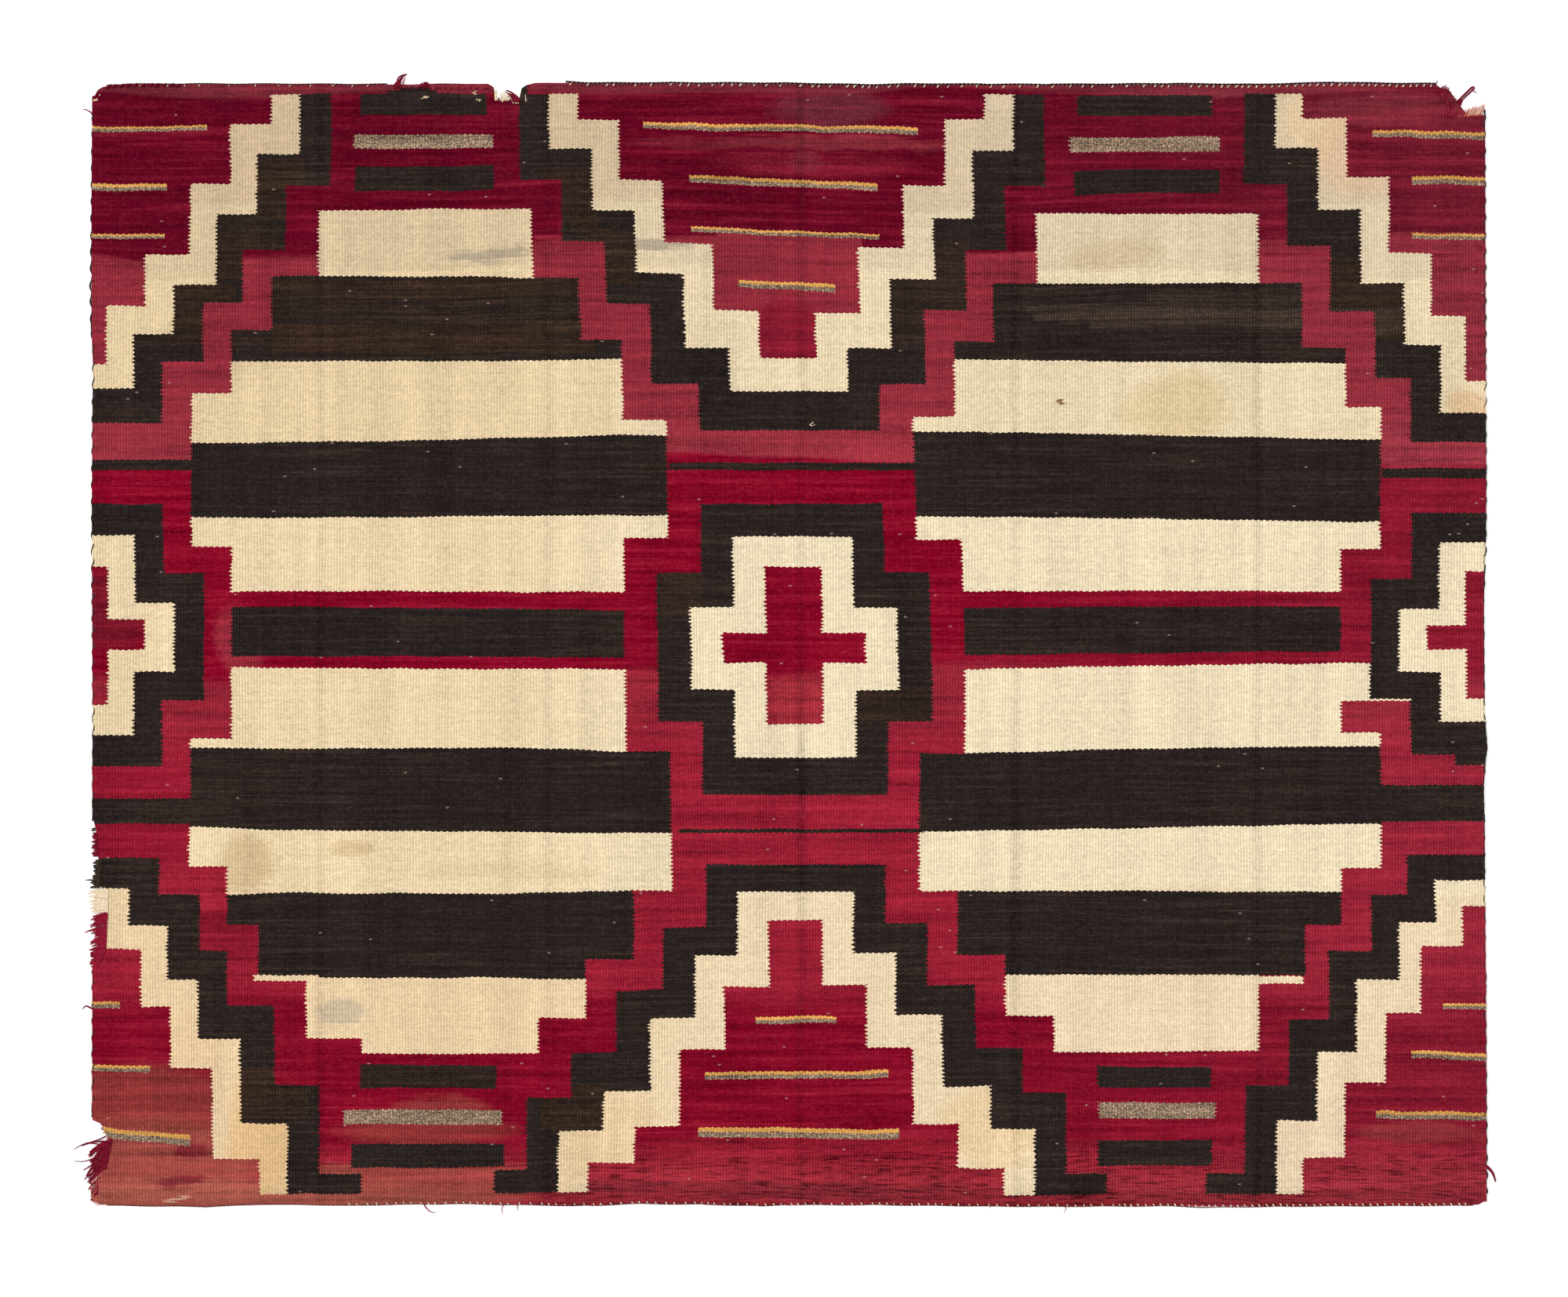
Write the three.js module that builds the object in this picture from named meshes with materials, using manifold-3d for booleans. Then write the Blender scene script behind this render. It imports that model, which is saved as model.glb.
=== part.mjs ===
// A handwoven wool rug with edge cords and worn edges, lying flat, face up.
// Millimetres, +Z up. X runs along the wefts, Y along the warps. The origin is under the
// middle of the whole rug, its frayed ends included.

import * as THREE from "three";
import { mergeVertices } from "three/addons/utils/BufferGeometryUtils.js";
import Module from "manifold-3d";

const manifold = await Module();
manifold.setup();

// Driving dimensions
const RUG_LENGTH = 1830; // along the wefts, over the side cords
const RUG_WIDTH = 1473; // along the warps, over the end cords
const CLOTH_THICKNESS = 3;
const GAP = 0.3; // between the cloth and what is twined along its edge
const CORD = { width: 3, height: 2.8 };
const FRAY_STRIP = { width: 1.5, height: 1.8 };
const CHAMFER = 0.2; // share of a cord's width that its top is narrower by, on each side
const YARN = { height: 1.3, tip: 0.5, steps: 3 }; // tip is the share of its width left at the end
// How the edge goes in and out between the rows of its table: hardly along the ends, and in
// scallops along the sides, where the selvage cord pulls the wefts in
const WAVES = {
  top: { pitch: 76, inwards: 0.5, outwards: 0.2 },
  bottom: { pitch: 76, inwards: 0.5, outwards: 0.2 },
  left: { pitch: 22, inwards: 1.5, outwards: 0.3 },
  right: { pitch: 22, inwards: 1.5, outwards: 0.3 },
};
const CLOSEST = 3; // no step of a wave lies nearer than this to a row of the tables
const CORNER_STEPS = 4;

// Each side of the cloth: how far it lies inside the rug's nominal rectangle. Along the top
// and bottom, along counts from the left; on the left and right it counts from the top.
const EDGE_ROWS = {
  top: [
    { along: 9, inset: 12 },
    { along: 26, inset: 7 },
    { along: 45, inset: 5 },
    { along: 394, inset: 5.4 },
    { along: 402, inset: 3 },
    { along: 466, inset: 1.5 },
    { along: 520, inset: 1.5 },
    { along: 527, inset: 5 },
    { along: 529, inset: 21 },
    { along: 545, inset: 22 },
    { along: 561, inset: 22 },
    { along: 564, inset: 7 },
    { along: 571, inset: 4.5 },
    { along: 590, inset: 1.5 },
    { along: 618, inset: 2.5 },
    { along: 661, inset: 5.4 },
    { along: 754, inset: 2.3 },
    { along: 908, inset: 2.3 },
    { along: 1011, inset: 3.3 },
    { along: 1078, inset: 1.6 },
    { along: 1166, inset: 3.3 },
    { along: 1258, inset: 4.3 },
    { along: 1423, inset: 2.3 },
    { along: 1526, inset: 4.3 },
    { along: 1628, inset: 2.3 },
    { along: 1764, inset: 2.8 },
    { along: 1770, inset: 7 },
    { along: 1780, inset: 8.5 },
    { along: 1785, inset: 15.5 },
    { along: 1790, inset: 23 },
    { along: 1796, inset: 31 },
    { along: 1802, inset: 39 },
    { along: 1823, inset: 42 },
  ],
  right: [
    { along: 42, inset: 4.3 },
    { along: 66, inset: 4.3 },
    { along: 200, inset: 6 },
    { along: 467, inset: 6 },
    { along: 513, inset: 2.6 },
    { along: 611, inset: 4.3 },
    { along: 817, inset: 6 },
    { along: 899, inset: 2.6 },
    { along: 961, inset: 6 },
    { along: 1177, inset: 4.3 },
    { along: 1434, inset: 3.6 },
    { along: 1460, inset: 5.4 },
  ],
  bottom: [
    { along: 16, inset: 4 },
    { along: 145, inset: 0.8 },
    { along: 229, inset: 5.4 },
    { along: 343, inset: 4.3 },
    { along: 466, inset: 6.4 },
    { along: 631, inset: 1.4 },
    { along: 661, inset: 1.4 },
    { along: 703, inset: 4.3 },
    { along: 805, inset: 4.3 },
    { along: 877, inset: 1.4 },
    { along: 908, inset: 4.3 },
    { along: 1011, inset: 4.3 },
    { along: 1217, inset: 1.4 },
    { along: 1423, inset: 3.3 },
    { along: 1459, inset: 0.8 },
    { along: 1567, inset: 4.3 },
    { along: 1803, inset: 7.4 },
    { along: 1818, inset: 8.4 },
  ],
  left: [
    { along: 24, inset: 5.5 },
    { along: 45, inset: 4.3 },
    { along: 200, inset: 1.8 },
    { along: 354, inset: 5.4 },
    { along: 446, inset: 3.3 },
    { along: 570, inset: 2.3 },
    { along: 817, inset: 4.3 },
    { along: 972, inset: 4.3 },
    { along: 980, inset: 6 },
    { along: 1012, inset: 7 },
    { along: 1018, inset: 10 },
    { along: 1053, inset: 9 },
    { along: 1059, inset: 18 },
    { along: 1086, inset: 20 },
    { along: 1136, inset: 17 },
    { along: 1150, inset: 9 },
    { along: 1160, inset: 3.3 },
    { along: 1352, inset: 2.6 },
    { along: 1361, inset: 3.6 },
    { along: 1364, inset: 13 },
    { along: 1376, inset: 16 },
    { along: 1383, inset: 21 },
    { along: 1414, inset: 21 },
    { along: 1425, inset: 15 },
    { along: 1436, inset: 9 },
    { along: 1450, inset: 5.5 },
    { along: 1462, inset: 6 },
  ],
};

// Where each cord, and each strip of loosened yarn, runs along the cloth's edge
const EDGE_PIECES = [
  { name: "edge_cord_top_left", side: "top", from: 34, to: 388, section: CORD, finish: "cord" },
  { name: "edge_cord_top", side: "top", from: 622, to: 1763, section: CORD, finish: "cord" },
  { name: "edge_cord_right", side: "right", from: 44, to: 1456, section: CORD, finish: "cord" },
  { name: "edge_cord_bottom", side: "bottom", from: 20, to: 1812, section: CORD, finish: "rose" },
  { name: "edge_cord_left_upper", side: "left", from: 28, to: 968, section: CORD, finish: "cord" },
  { name: "edge_cord_left_lower", side: "left", from: 1164, to: 1356, section: CORD, finish: "cord" },
  { name: "fray_top_left", side: "top", from: 11, to: 31, section: FRAY_STRIP, finish: "warp" },
  { name: "fray_top", side: "top", from: 393, to: 614, section: FRAY_STRIP, finish: "red" },
  { name: "fray_top_right", side: "top", from: 1768, to: 1821, section: FRAY_STRIP, finish: "red" },
  { name: "fray_left", side: "left", from: 984, to: 1156, section: FRAY_STRIP, finish: "red" },
  { name: "fray_bottom_left", side: "left", from: 1366, to: 1458, section: FRAY_STRIP, finish: "red" },
];

// Loose yarns on them. Lean turns a yarn from square to the edge, anticlockwise; fan spreads
// a group from its first yarn to its last; curl is how far a yarn turns along its length.
const LOOSE_YARNS = [
  { on: "fray_top_left", from: 12, to: 20, count: 3, length: 7, lean: 20, fan: 14, curl: 0, width: 1.2 },
  { on: "fray_top", from: 398, to: 409, count: 3, length: 15, lean: -15, fan: 12, curl: -25, width: 2.4 },
  { on: "fray_top", from: 430, to: 443, count: 4, length: 6, lean: 0, fan: 50, curl: 0, width: 2 },
  { on: "fray_top", from: 533, to: 558, count: 7, length: 13, lean: 0, fan: -12, curl: 8, width: 1.4 },
  { on: "fray_top", from: 567, to: 569, count: 1, length: 5, lean: 10, fan: 0, curl: 0, width: 3 },
  { on: "fray_top_right", from: 1771, to: 1787, count: 6, length: 7, lean: 5, fan: -10, curl: 0, width: 1.6 },
  { on: "fray_top_right", from: 1793, to: 1794, count: 1, length: 33, lean: 14, fan: 0, curl: 8, width: 5 },
  { on: "fray_top_right", from: 1801, to: 1819, count: 7, length: 12, lean: -20, fan: -10, curl: 0, width: 1.4 },
  { on: "edge_cord_right", from: 1424, to: 1425, count: 1, length: 24, lean: -62, fan: 0, curl: 10, width: 3 },
  { on: "edge_cord_bottom", from: 1276, to: 1277, count: 1, length: 13, lean: 0, fan: 0, curl: 20, width: 1.2 },
  { on: "edge_cord_bottom", from: 1181, to: 1182, count: 1, length: 7, lean: 30, fan: 0, curl: 20, width: 1.2 },
  { on: "edge_cord_bottom", from: 558, to: 559, count: 1, length: 9, lean: 5, fan: 0, curl: 0, width: 1.4 },
  { on: "edge_cord_bottom", from: 541, to: 542, count: 1, length: 14, lean: 10, fan: 0, curl: -15, width: 1.2 },
  { on: "edge_cord_bottom", from: 435, to: 437, count: 1, length: 17, lean: -25, fan: 0, curl: 20, width: 1.8 },
  { on: "edge_cord_bottom", from: 149, to: 150, count: 1, length: 5, lean: 0, fan: 0, curl: 0, width: 1.2 },
  { on: "edge_cord_bottom", from: 82, to: 83, count: 1, length: 7, lean: 0, fan: 0, curl: 0, width: 1.2 },
  { on: "edge_cord_left_upper", from: 43, to: 44, count: 1, length: 15, lean: -45, fan: 0, curl: 40, width: 1.4 },
  { on: "edge_cord_left_lower", from: 1214, to: 1215, count: 1, length: 14, lean: 20, fan: 0, curl: -20, width: 1.4 },
  { on: "fray_left", from: 986, to: 1012, count: 7, length: 5, lean: 15, fan: 8, curl: 10, width: 1.8 },
  { on: "fray_left", from: 1019, to: 1039, count: 6, length: 7, lean: 10, fan: -8, curl: 10, width: 1.8 },
  { on: "fray_left", from: 1043, to: 1046, count: 1, length: 14, lean: -15, fan: 0, curl: 20, width: 2.6 },
  { on: "fray_left", from: 1060, to: 1087, count: 8, length: 19, lean: 0, fan: 16, curl: 12, width: 2 },
  { on: "fray_left", from: 1091, to: 1103, count: 4, length: 18, lean: 10, fan: 8, curl: 8, width: 2 },
  { on: "fray_left", from: 1108, to: 1110, count: 1, length: 25, lean: 5, fan: 0, curl: 0, width: 2.2 },
  { on: "fray_left", from: 1114, to: 1136, count: 7, length: 16, lean: 5, fan: 14, curl: 8, width: 2 },
  { on: "fray_left", from: 1140, to: 1153, count: 4, length: 9, lean: 0, fan: 8, curl: 5, width: 1.8 },
  { on: "fray_bottom_left", from: 1367, to: 1380, count: 4, length: 7, lean: 10, fan: 10, curl: 0, width: 1.6 },
  { on: "fray_bottom_left", from: 1385, to: 1401, count: 5, length: 47, lean: 24, fan: -8, curl: -8, width: 1.8 },
  { on: "fray_bottom_left", from: 1405, to: 1413, count: 3, length: 38, lean: 32, fan: -4, curl: -4, width: 1.8 },
  { on: "fray_bottom_left", from: 1418, to: 1436, count: 5, length: 20, lean: 6, fan: 8, curl: 6, width: 1.8 },
  { on: "fray_bottom_left", from: 1442, to: 1454, count: 3, length: 7, lean: 10, fan: 10, curl: 0, width: 1.4 },
];

const FINISHES = {
  wool: { color: 0x8c2238, roughness: 0.95, metalness: 0 },
  cord: { color: 0x2c2a28, roughness: 0.9, metalness: 0 },
  rose: { color: 0x6e3038, roughness: 0.9, metalness: 0 },
  red: { color: 0x9c1430, roughness: 0.95, metalness: 0 },
  warp: { color: 0xe4d0aa, roughness: 0.95, metalness: 0 },
};

const SIDES = {
  top: { place: (along, inset) => [along - RUG_LENGTH / 2, RUG_WIDTH / 2 - inset], forward: true },
  right: { place: (along, inset) => [RUG_LENGTH / 2 - inset, RUG_WIDTH / 2 - along], forward: true },
  bottom: { place: (along, inset) => [along - RUG_LENGTH / 2, inset - RUG_WIDTH / 2], forward: false },
  left: { place: (along, inset) => [inset - RUG_LENGTH / 2, RUG_WIDTH / 2 - along], forward: false },
};

// A number from 0 to 1 that looks random and is always the same for the same seed.
function unevenness(seed) {
  const wave = Math.sin(seed * 12.9898) * 43758.5453;
  return wave - Math.floor(wave);
}

// The inset at a place along a table of rows, on straight lines from row to row.
function insetAt(rows, along) {
  const next = Math.max(1, rows.findIndex((row) => row.along >= along));
  const [a, b] = [rows[next - 1], rows[next]];
  return THREE.MathUtils.mapLinear(along, a.along, b.along, a.inset, b.inset);
}

// A side's rows with the steps of its wave added between them, in turn inwards and outwards.
function finerRows(side) {
  const rows = EDGE_ROWS[side];
  const { pitch, inwards, outwards } = WAVES[side];
  const step = pitch / 2;
  const finer = [...rows];
  for (let k = Math.ceil(rows[0].along / step); k * step < rows.at(-1).along; k++) {
    const along = k * step;
    if (rows.some((row) => Math.abs(row.along - along) < CLOSEST)) continue;
    const wave = (k % 2 ? inwards : -outwards) * (0.6 + 0.8 * unevenness(k + rows.length));
    finer.push({ along, inset: insetAt(rows, along) + wave });
  }
  return finer.sort((a, b) => a.along - b.along);
}

const EDGES = Object.fromEntries(Object.keys(EDGE_ROWS).map((side) => [side, finerRows(side)]));

// The cloth's edge on one side from one place to another, as points taken clockwise.
function edgeRun(side, from, to) {
  const rows = EDGES[side];
  const between = rows.filter((row) => row.along > from + 1 && row.along < to - 1);
  const ends = [from, to].map((along) => ({ along, inset: insetAt(rows, along) }));
  const run = [ends[0], ...between, ends[1]];
  const points = run.map((row) => new THREE.Vector2(...SIDES[side].place(row.along, row.inset)));
  return SIDES[side].forward ? points : points.reverse();
}

// The direction out of the cloth at each point of a clockwise run, long enough at a bend
// that a path moved along it stays parallel to the run.
function outward(points) {
  return points.map((point, i) => {
    const legs = [points[i - 1], point, points[i + 1]].filter(Boolean);
    const normals = legs.slice(1).map((end, k) => {
      const leg = end.clone().sub(legs[k]).normalize();
      return new THREE.Vector2(-leg.y, leg.x);
    });
    const mean = normals.reduce((sum, n) => sum.add(n), new THREE.Vector2()).normalize();
    return mean.divideScalar(mean.dot(normals[0]) || 1);
  });
}

// A closed solid through rings of points that each have the same number of corners.
function solidOfRings(rings) {
  const corners = rings[0].length;
  const index = [];
  for (let k = 0; k + 1 < rings.length; k++)
    for (let c = 0; c < corners; c++) {
      const [a, b] = [k * corners + c, k * corners + ((c + 1) % corners)];
      index.push(a, b, b + corners, a, b + corners, a + corners);
    }
  const last = (rings.length - 1) * corners;
  for (let c = 1; c + 1 < corners; c++) index.push(0, c + 1, c, last, last + c, last + c + 1);
  const geometry = new THREE.BufferGeometry();
  geometry.setAttribute("position", new THREE.Float32BufferAttribute(rings.flat(2), 3));
  geometry.setIndex(index);
  return geometry;
}

// A cord or strip that follows the edge, flat underneath and a little narrower on top.
function edgeBand({ side, from, to, section }) {
  const points = edgeRun(side, from, to);
  const normals = outward(points);
  const { width, height } = section;
  const profile = [
    { out: GAP + width, up: 0 },
    { out: GAP + (1 - CHAMFER) * width, up: height },
    { out: GAP + CHAMFER * width, up: height },
    { out: GAP, up: 0 },
  ];
  return solidOfRings(
    points.map((point, i) =>
      profile.map(({ out, up }) => [point.x + normals[i].x * out, point.y + normals[i].y * out, up]),
    ),
  );
}

// One loose yarn lying on the floor: a flat taper that turns a little along its length.
function looseYarn(root, heading, { length, curl, width }) {
  const rings = [];
  const place = root.clone();
  for (let k = 0; k <= YARN.steps; k++) {
    const share = k / YARN.steps;
    const angle = heading + THREE.MathUtils.degToRad(curl) * share;
    const along = new THREE.Vector2(Math.cos(angle), Math.sin(angle));
    if (k) place.addScaledVector(along, length / YARN.steps);
    const taper = THREE.MathUtils.lerp(1, YARN.tip, share);
    const side = new THREE.Vector2(-along.y, along.x).multiplyScalar((width * taper) / 2);
    const [left, right] = [place.clone().add(side), place.clone().sub(side)];
    const up = YARN.height * taper;
    rings.push([
      [left.x, left.y, 0],
      [left.x, left.y, up],
      [right.x, right.y, up],
      [right.x, right.y, 0],
    ]);
  }
  return solidOfRings(rings);
}

// A group of loose yarns whose roots lie inside their cord or strip.
function yarnGroup(piece, row) {
  const { forward } = SIDES[piece.side];
  const yarns = [];
  for (let k = 0; k < row.count; k++) {
    const share = (k + 0.5) / row.count;
    const along = THREE.MathUtils.lerp(row.from, row.to, forward ? share : 1 - share);
    const [back, ahead] = edgeRun(piece.side, along - 0.5, along + 0.5);
    const edge = ahead.clone().sub(back).normalize();
    const out = new THREE.Vector2(-edge.y, edge.x);
    const root = back.clone().add(ahead).multiplyScalar(0.5);
    root.addScaledVector(out, GAP + piece.section.width / 2);
    const uneven = unevenness(row.from + 7 * k);
    const turn = THREE.MathUtils.degToRad(row.lean + row.fan * (0.5 - share) + 6 * (uneven - 0.5));
    yarns.push(looseYarn(root, out.angle() + turn, { ...row, length: row.length * (0.72 + 0.28 * uneven) }));
  }
  return yarns;
}

// One solid from several closed geometries that run into each other.
function fused(geometries) {
  const solids = geometries.map((geometry) => {
    const merged = mergeVertices(geometry, 1e-4);
    return new manifold.Manifold(
      new manifold.Mesh({
        numProp: 3,
        vertProperties: merged.attributes.position.array,
        triVerts: new Uint32Array(merged.index.array),
      }),
    );
  });
  const mesh = solids.reduce((whole, solid) => whole.add(solid)).getMesh();
  const geometry = new THREE.BufferGeometry();
  geometry.setAttribute("position", new THREE.BufferAttribute(mesh.vertProperties, 3));
  geometry.setIndex([...mesh.triVerts]);
  return geometry;
}

// The whole edge of the cloth, clockwise from the top left, with its corners rounded.
function clothOutline() {
  const [top, right, bottom, left] = ["top", "right", "bottom", "left"].map((side) =>
    edgeRun(side, EDGES[side][0].along, EDGES[side].at(-1).along),
  );
  const round = (a, b, corner) =>
    new THREE.QuadraticBezierCurve(a, corner, b).getPoints(CORNER_STEPS).slice(1, -1);
  const meet = (x, y) => new THREE.Vector2(x, y);
  return [
    ...top,
    ...right,
    ...round(right.at(-1), bottom[0], meet(right.at(-1).x, bottom[0].y)),
    ...bottom,
    ...round(bottom.at(-1), left[0], meet(left[0].x, bottom.at(-1).y)),
    ...left,
    ...round(left.at(-1), top[0], meet(left.at(-1).x, top[0].y)),
  ];
}

function meshNamed(name, geometry, finish) {
  geometry.computeVertexNormals();
  const mesh = new THREE.Mesh(geometry, new THREE.MeshStandardMaterial(FINISHES[finish]));
  mesh.name = name;
  return mesh;
}

function rugCloth() {
  const slab = { depth: CLOTH_THICKNESS, bevelEnabled: false };
  return meshNamed("rug_cloth", new THREE.ExtrudeGeometry(new THREE.Shape(clothOutline()), slab), "wool");
}

function edgePiece(piece) {
  const yarns = LOOSE_YARNS.filter((row) => row.on === piece.name).flatMap((row) => yarnGroup(piece, row));
  return meshNamed(piece.name, fused([edgeBand(piece), ...yarns]), piece.finish);
}

const rug = new THREE.Group();
rug.add(rugCloth(), ...EDGE_PIECES.map(edgePiece));

const box = new THREE.Box3().setFromObject(rug);
const middle = box.getCenter(new THREE.Vector3());
rug.position.set(-middle.x, -middle.y, -box.min.z);

export default rug;
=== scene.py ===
# %% [markdown]
# # A navajo rug, seen from straight above
# The rug is one flat sheet of tapestry weave. Its wool wefts run from side to side, are
# packed down hard, and cover the warps, which show only as upright ribs. Cords are twined
# along its edges, and where they have worn away the ends of the yarns hang loose.
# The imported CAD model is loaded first. It is the frame: every piece made here is in
# metres and lies where the CAD says.

# %% The frame
import bisect
import math
import random

import bmesh
import bpy
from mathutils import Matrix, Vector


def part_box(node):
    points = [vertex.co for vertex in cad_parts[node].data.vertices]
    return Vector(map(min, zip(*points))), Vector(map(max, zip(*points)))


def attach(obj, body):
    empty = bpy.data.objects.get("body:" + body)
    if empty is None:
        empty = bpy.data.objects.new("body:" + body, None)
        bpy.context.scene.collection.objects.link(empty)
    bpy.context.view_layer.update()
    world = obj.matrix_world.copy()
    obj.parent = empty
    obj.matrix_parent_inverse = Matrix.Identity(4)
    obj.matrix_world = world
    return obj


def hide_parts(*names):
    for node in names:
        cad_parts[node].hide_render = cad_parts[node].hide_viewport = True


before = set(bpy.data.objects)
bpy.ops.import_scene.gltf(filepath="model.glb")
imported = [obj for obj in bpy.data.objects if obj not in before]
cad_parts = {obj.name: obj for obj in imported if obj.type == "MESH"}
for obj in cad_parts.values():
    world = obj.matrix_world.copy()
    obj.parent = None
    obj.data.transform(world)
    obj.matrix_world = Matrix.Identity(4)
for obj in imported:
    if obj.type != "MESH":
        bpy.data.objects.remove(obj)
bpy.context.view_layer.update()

# %% [markdown]
# ## Camera
# The rug fills the picture and is looked at from straight above, so its outline keeps its
# true shape. A long lens from high up does the same: nearly all of its rays are upright.
# The height follows from the width that the picture has to show.

# %% The camera
MM = 0.001
PICTURE_WIDTH = 2057.4 * MM
LENS = 85
SENSOR = 36
PICTURE_MIDDLE = (-6.7 * MM, -5.1 * MM)  # from the middle of the cloth


def aim_camera(middle):
    camera = bpy.data.objects.new("Camera", bpy.data.cameras.new("Camera"))
    camera.data.lens = LENS
    camera.data.sensor_width = SENSOR
    height = PICTURE_WIDTH * LENS / SENSOR
    camera.location = (middle[0] + PICTURE_MIDDLE[0], middle[1] + PICTURE_MIDDLE[1], height)
    bpy.context.collection.objects.link(camera)
    bpy.context.scene.camera = camera
    print(f"camera {height:.3f} m above the floor")


# %% [markdown]
# ## The edge of the cloth
# A handwoven rug isn't a true rectangle. Each side has a table that says how far the cloth
# lies inside the rectangle of its full size, or outside it where the number is below zero.
# The outline is the CAD's, with its corners and small dents followed a little more closely.
# Between the rows the edge goes in and out: hardly along the ends, and in scallops along
# the sides, where the cord pulls the wefts in.

# %% Sizes and edge tables, in millimetres
RUG_LENGTH = 1830  # along the wefts
RUG_WIDTH = 1473  # along the warps

WAVES = {  # pitch, depth inwards, depth outwards
    "top": (76, 0.5, 0.2),
    "bottom": (76, 0.5, 0.2),
    "left": (22, 1.5, 0.3),
    "right": (22, 1.5, 0.3),
}
LEAST_WAVE = 0.6  # the share of its depth that the shallowest wave has
WAVE_SPREAD = 0.8  # how much more of it the deepest has
CLOSEST = 3  # no step of a wave lies nearer than this to a row of the tables

# Rows of (place along the side, inset). Along the top and bottom the place counts from the
# left, and on the left and right from the top.
EDGE_ROWS = {
    "top": [
        (8, 9.5), (14, 5.5), (24, 3), (45, 2), (130, 1.5), (394, 2), (402, 2), (466, 0.5),
        (520, 1), (527, 5), (529, 21), (545, 22), (561, 22), (564, 7), (571, 2.5), (590, -2),
        (618, -1), (661, 1.5), (754, 1), (908, 1.5), (1011, 3.6), (1078, 2.6), (1166, 3),
        (1258, 3.3), (1423, 2.3), (1526, 3.3), (1628, 0.8), (1764, 2.3), (1770, 7),
        (1780, 8.5), (1785, 15.5), (1790, 23), (1796, 31), (1802, 39), (1823, 42),
    ],
    "right": [
        (32, 4.3), (66, 4.3), (200, 3.8), (467, 3), (513, 2.6), (611, 3), (680, 6), (817, 4.8),
        (870, 2), (929, 6.4), (961, 5), (1177, 3.3), (1434, 1.5), (1462, 2),
    ],
    "bottom": [
        (10, 2), (145, 0), (229, 3), (343, 2), (466, 3.8), (631, 1.4), (661, 1.6),
        (703, 3.8), (805, 3.2), (877, 1), (908, 2.5), (1011, 2.5), (1217, 0.3),
        (1423, 0.8), (1459, -1), (1567, 0.5), (1803, 1.8), (1819, 2.2),
    ],
    "left": [
        (23, 3), (45, 3), (200, 1.4), (270, 0.5), (320, 1.5), (354, 4), (446, 3.3),
        (570, 2.3), (817, 3.6), (972, 3), (980, 6), (1012, 7), (1018, 10), (1053, 9),
        (1059, 18), (1086, 20), (1136, 17), (1150, 9), (1160, 3.3), (1352, 2.6), (1361, 3.6),
        (1364, 13), (1376, 16), (1383, 21), (1414, 21), (1425, 13), (1436, 6), (1450, 2.5),
        (1463, 2.5),
    ],
}  # fmt: skip

# %% The waving edge
FAST_TURN = 12.9898  # a sine that turns fast and reaches far has digits that look random
FAR_REACH = 43758.5453


def unevenness(seed):
    """A number from 0 to 1 that looks random and is always the same for the same seed."""
    wave = math.sin(seed * FAST_TURN) * FAR_REACH
    return wave - math.floor(wave)


def between(rows, place):
    """The value at a place in a table of (place, value) rows, on straight lines."""
    if place <= rows[0][0]:
        return rows[0][1]
    if place >= rows[-1][0]:
        return rows[-1][1]
    k = bisect.bisect_right(rows, (place, math.inf))
    (a, low), (b, high) = rows[k - 1], rows[k]
    return low + (high - low) * (place - a) / (b - a)


def finer_rows(side):
    """A side's rows with the steps of its wave added between them."""
    rows = EDGE_ROWS[side]
    pitch, inwards, outwards = WAVES[side]
    step = pitch / 2
    finer = list(rows)
    k = math.ceil(rows[0][0] / step)
    while k * step < rows[-1][0]:
        place = k * step
        if all(abs(row[0] - place) >= CLOSEST for row in rows):
            depth = LEAST_WAVE + WAVE_SPREAD * unevenness(k + len(rows))
            wave = (inwards if k % 2 else -outwards) * depth
            finer.append((place, between(rows, place) + wave))
        k += 1
    return sorted(finer)


EDGES = {side: finer_rows(side) for side in EDGE_ROWS}
# The corners where two sides meet, added so that the ends of the cloth are cut off there
CORNERS = {"top": [(4, 17)], "bottom": [(5, 6), (1825.5, 6)]}
CLOTH_ENDS = {side: sorted(EDGES[side] + CORNERS[side]) for side in CORNERS}
print("edge points:", {side: len(rows) for side, rows in EDGES.items()})

# %% [markdown]
# ## Where the rectangle lies
# The CAD model is centred on its whole box, loose yarns included, so its rectangle lies a
# few millimetres off the origin. The cloth's own box in the frame shows how far.

# %% Placing the rectangle
FRAME_INSETS = {"left": 1.8, "top": 1.5}  # the least inset of the cloth in the frame
CLOTH_LOW, CLOTH_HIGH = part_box("rug_cloth")
RECTANGLE_LEFT = CLOTH_LOW[0] - FRAME_INSETS["left"] * MM
RECTANGLE_TOP = CLOTH_HIGH[1] + FRAME_INSETS["top"] * MM
RUG_MIDDLE = (RECTANGLE_LEFT + RUG_LENGTH / 2 * MM, RECTANGLE_TOP - RUG_WIDTH / 2 * MM)


def in_frame(across, down, height=0.0):
    """A place in metres, from millimetres across from the left and down from the top."""
    return (RECTANGLE_LEFT + across * MM, RECTANGLE_TOP - down * MM, height * MM)


print("middle of the rectangle:", RUG_MIDDLE, "right:", RECTANGLE_LEFT + RUG_LENGTH * MM)
aim_camera(RUG_MIDDLE)

# %% [markdown]
# ## The cloth
# In this weave the wefts hide the warps, and each warp lifts them into a rib. So the mesh
# is a grid whose columns follow the ribs: one column in each valley and two on each crown.
# The underside rests on the floor and has one column a rib. Both are one closed sheet.
# Where the cloth is worn away, the outer columns stop at the edge: their points are held
# inside the outline, and those that fall together are merged.

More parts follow.
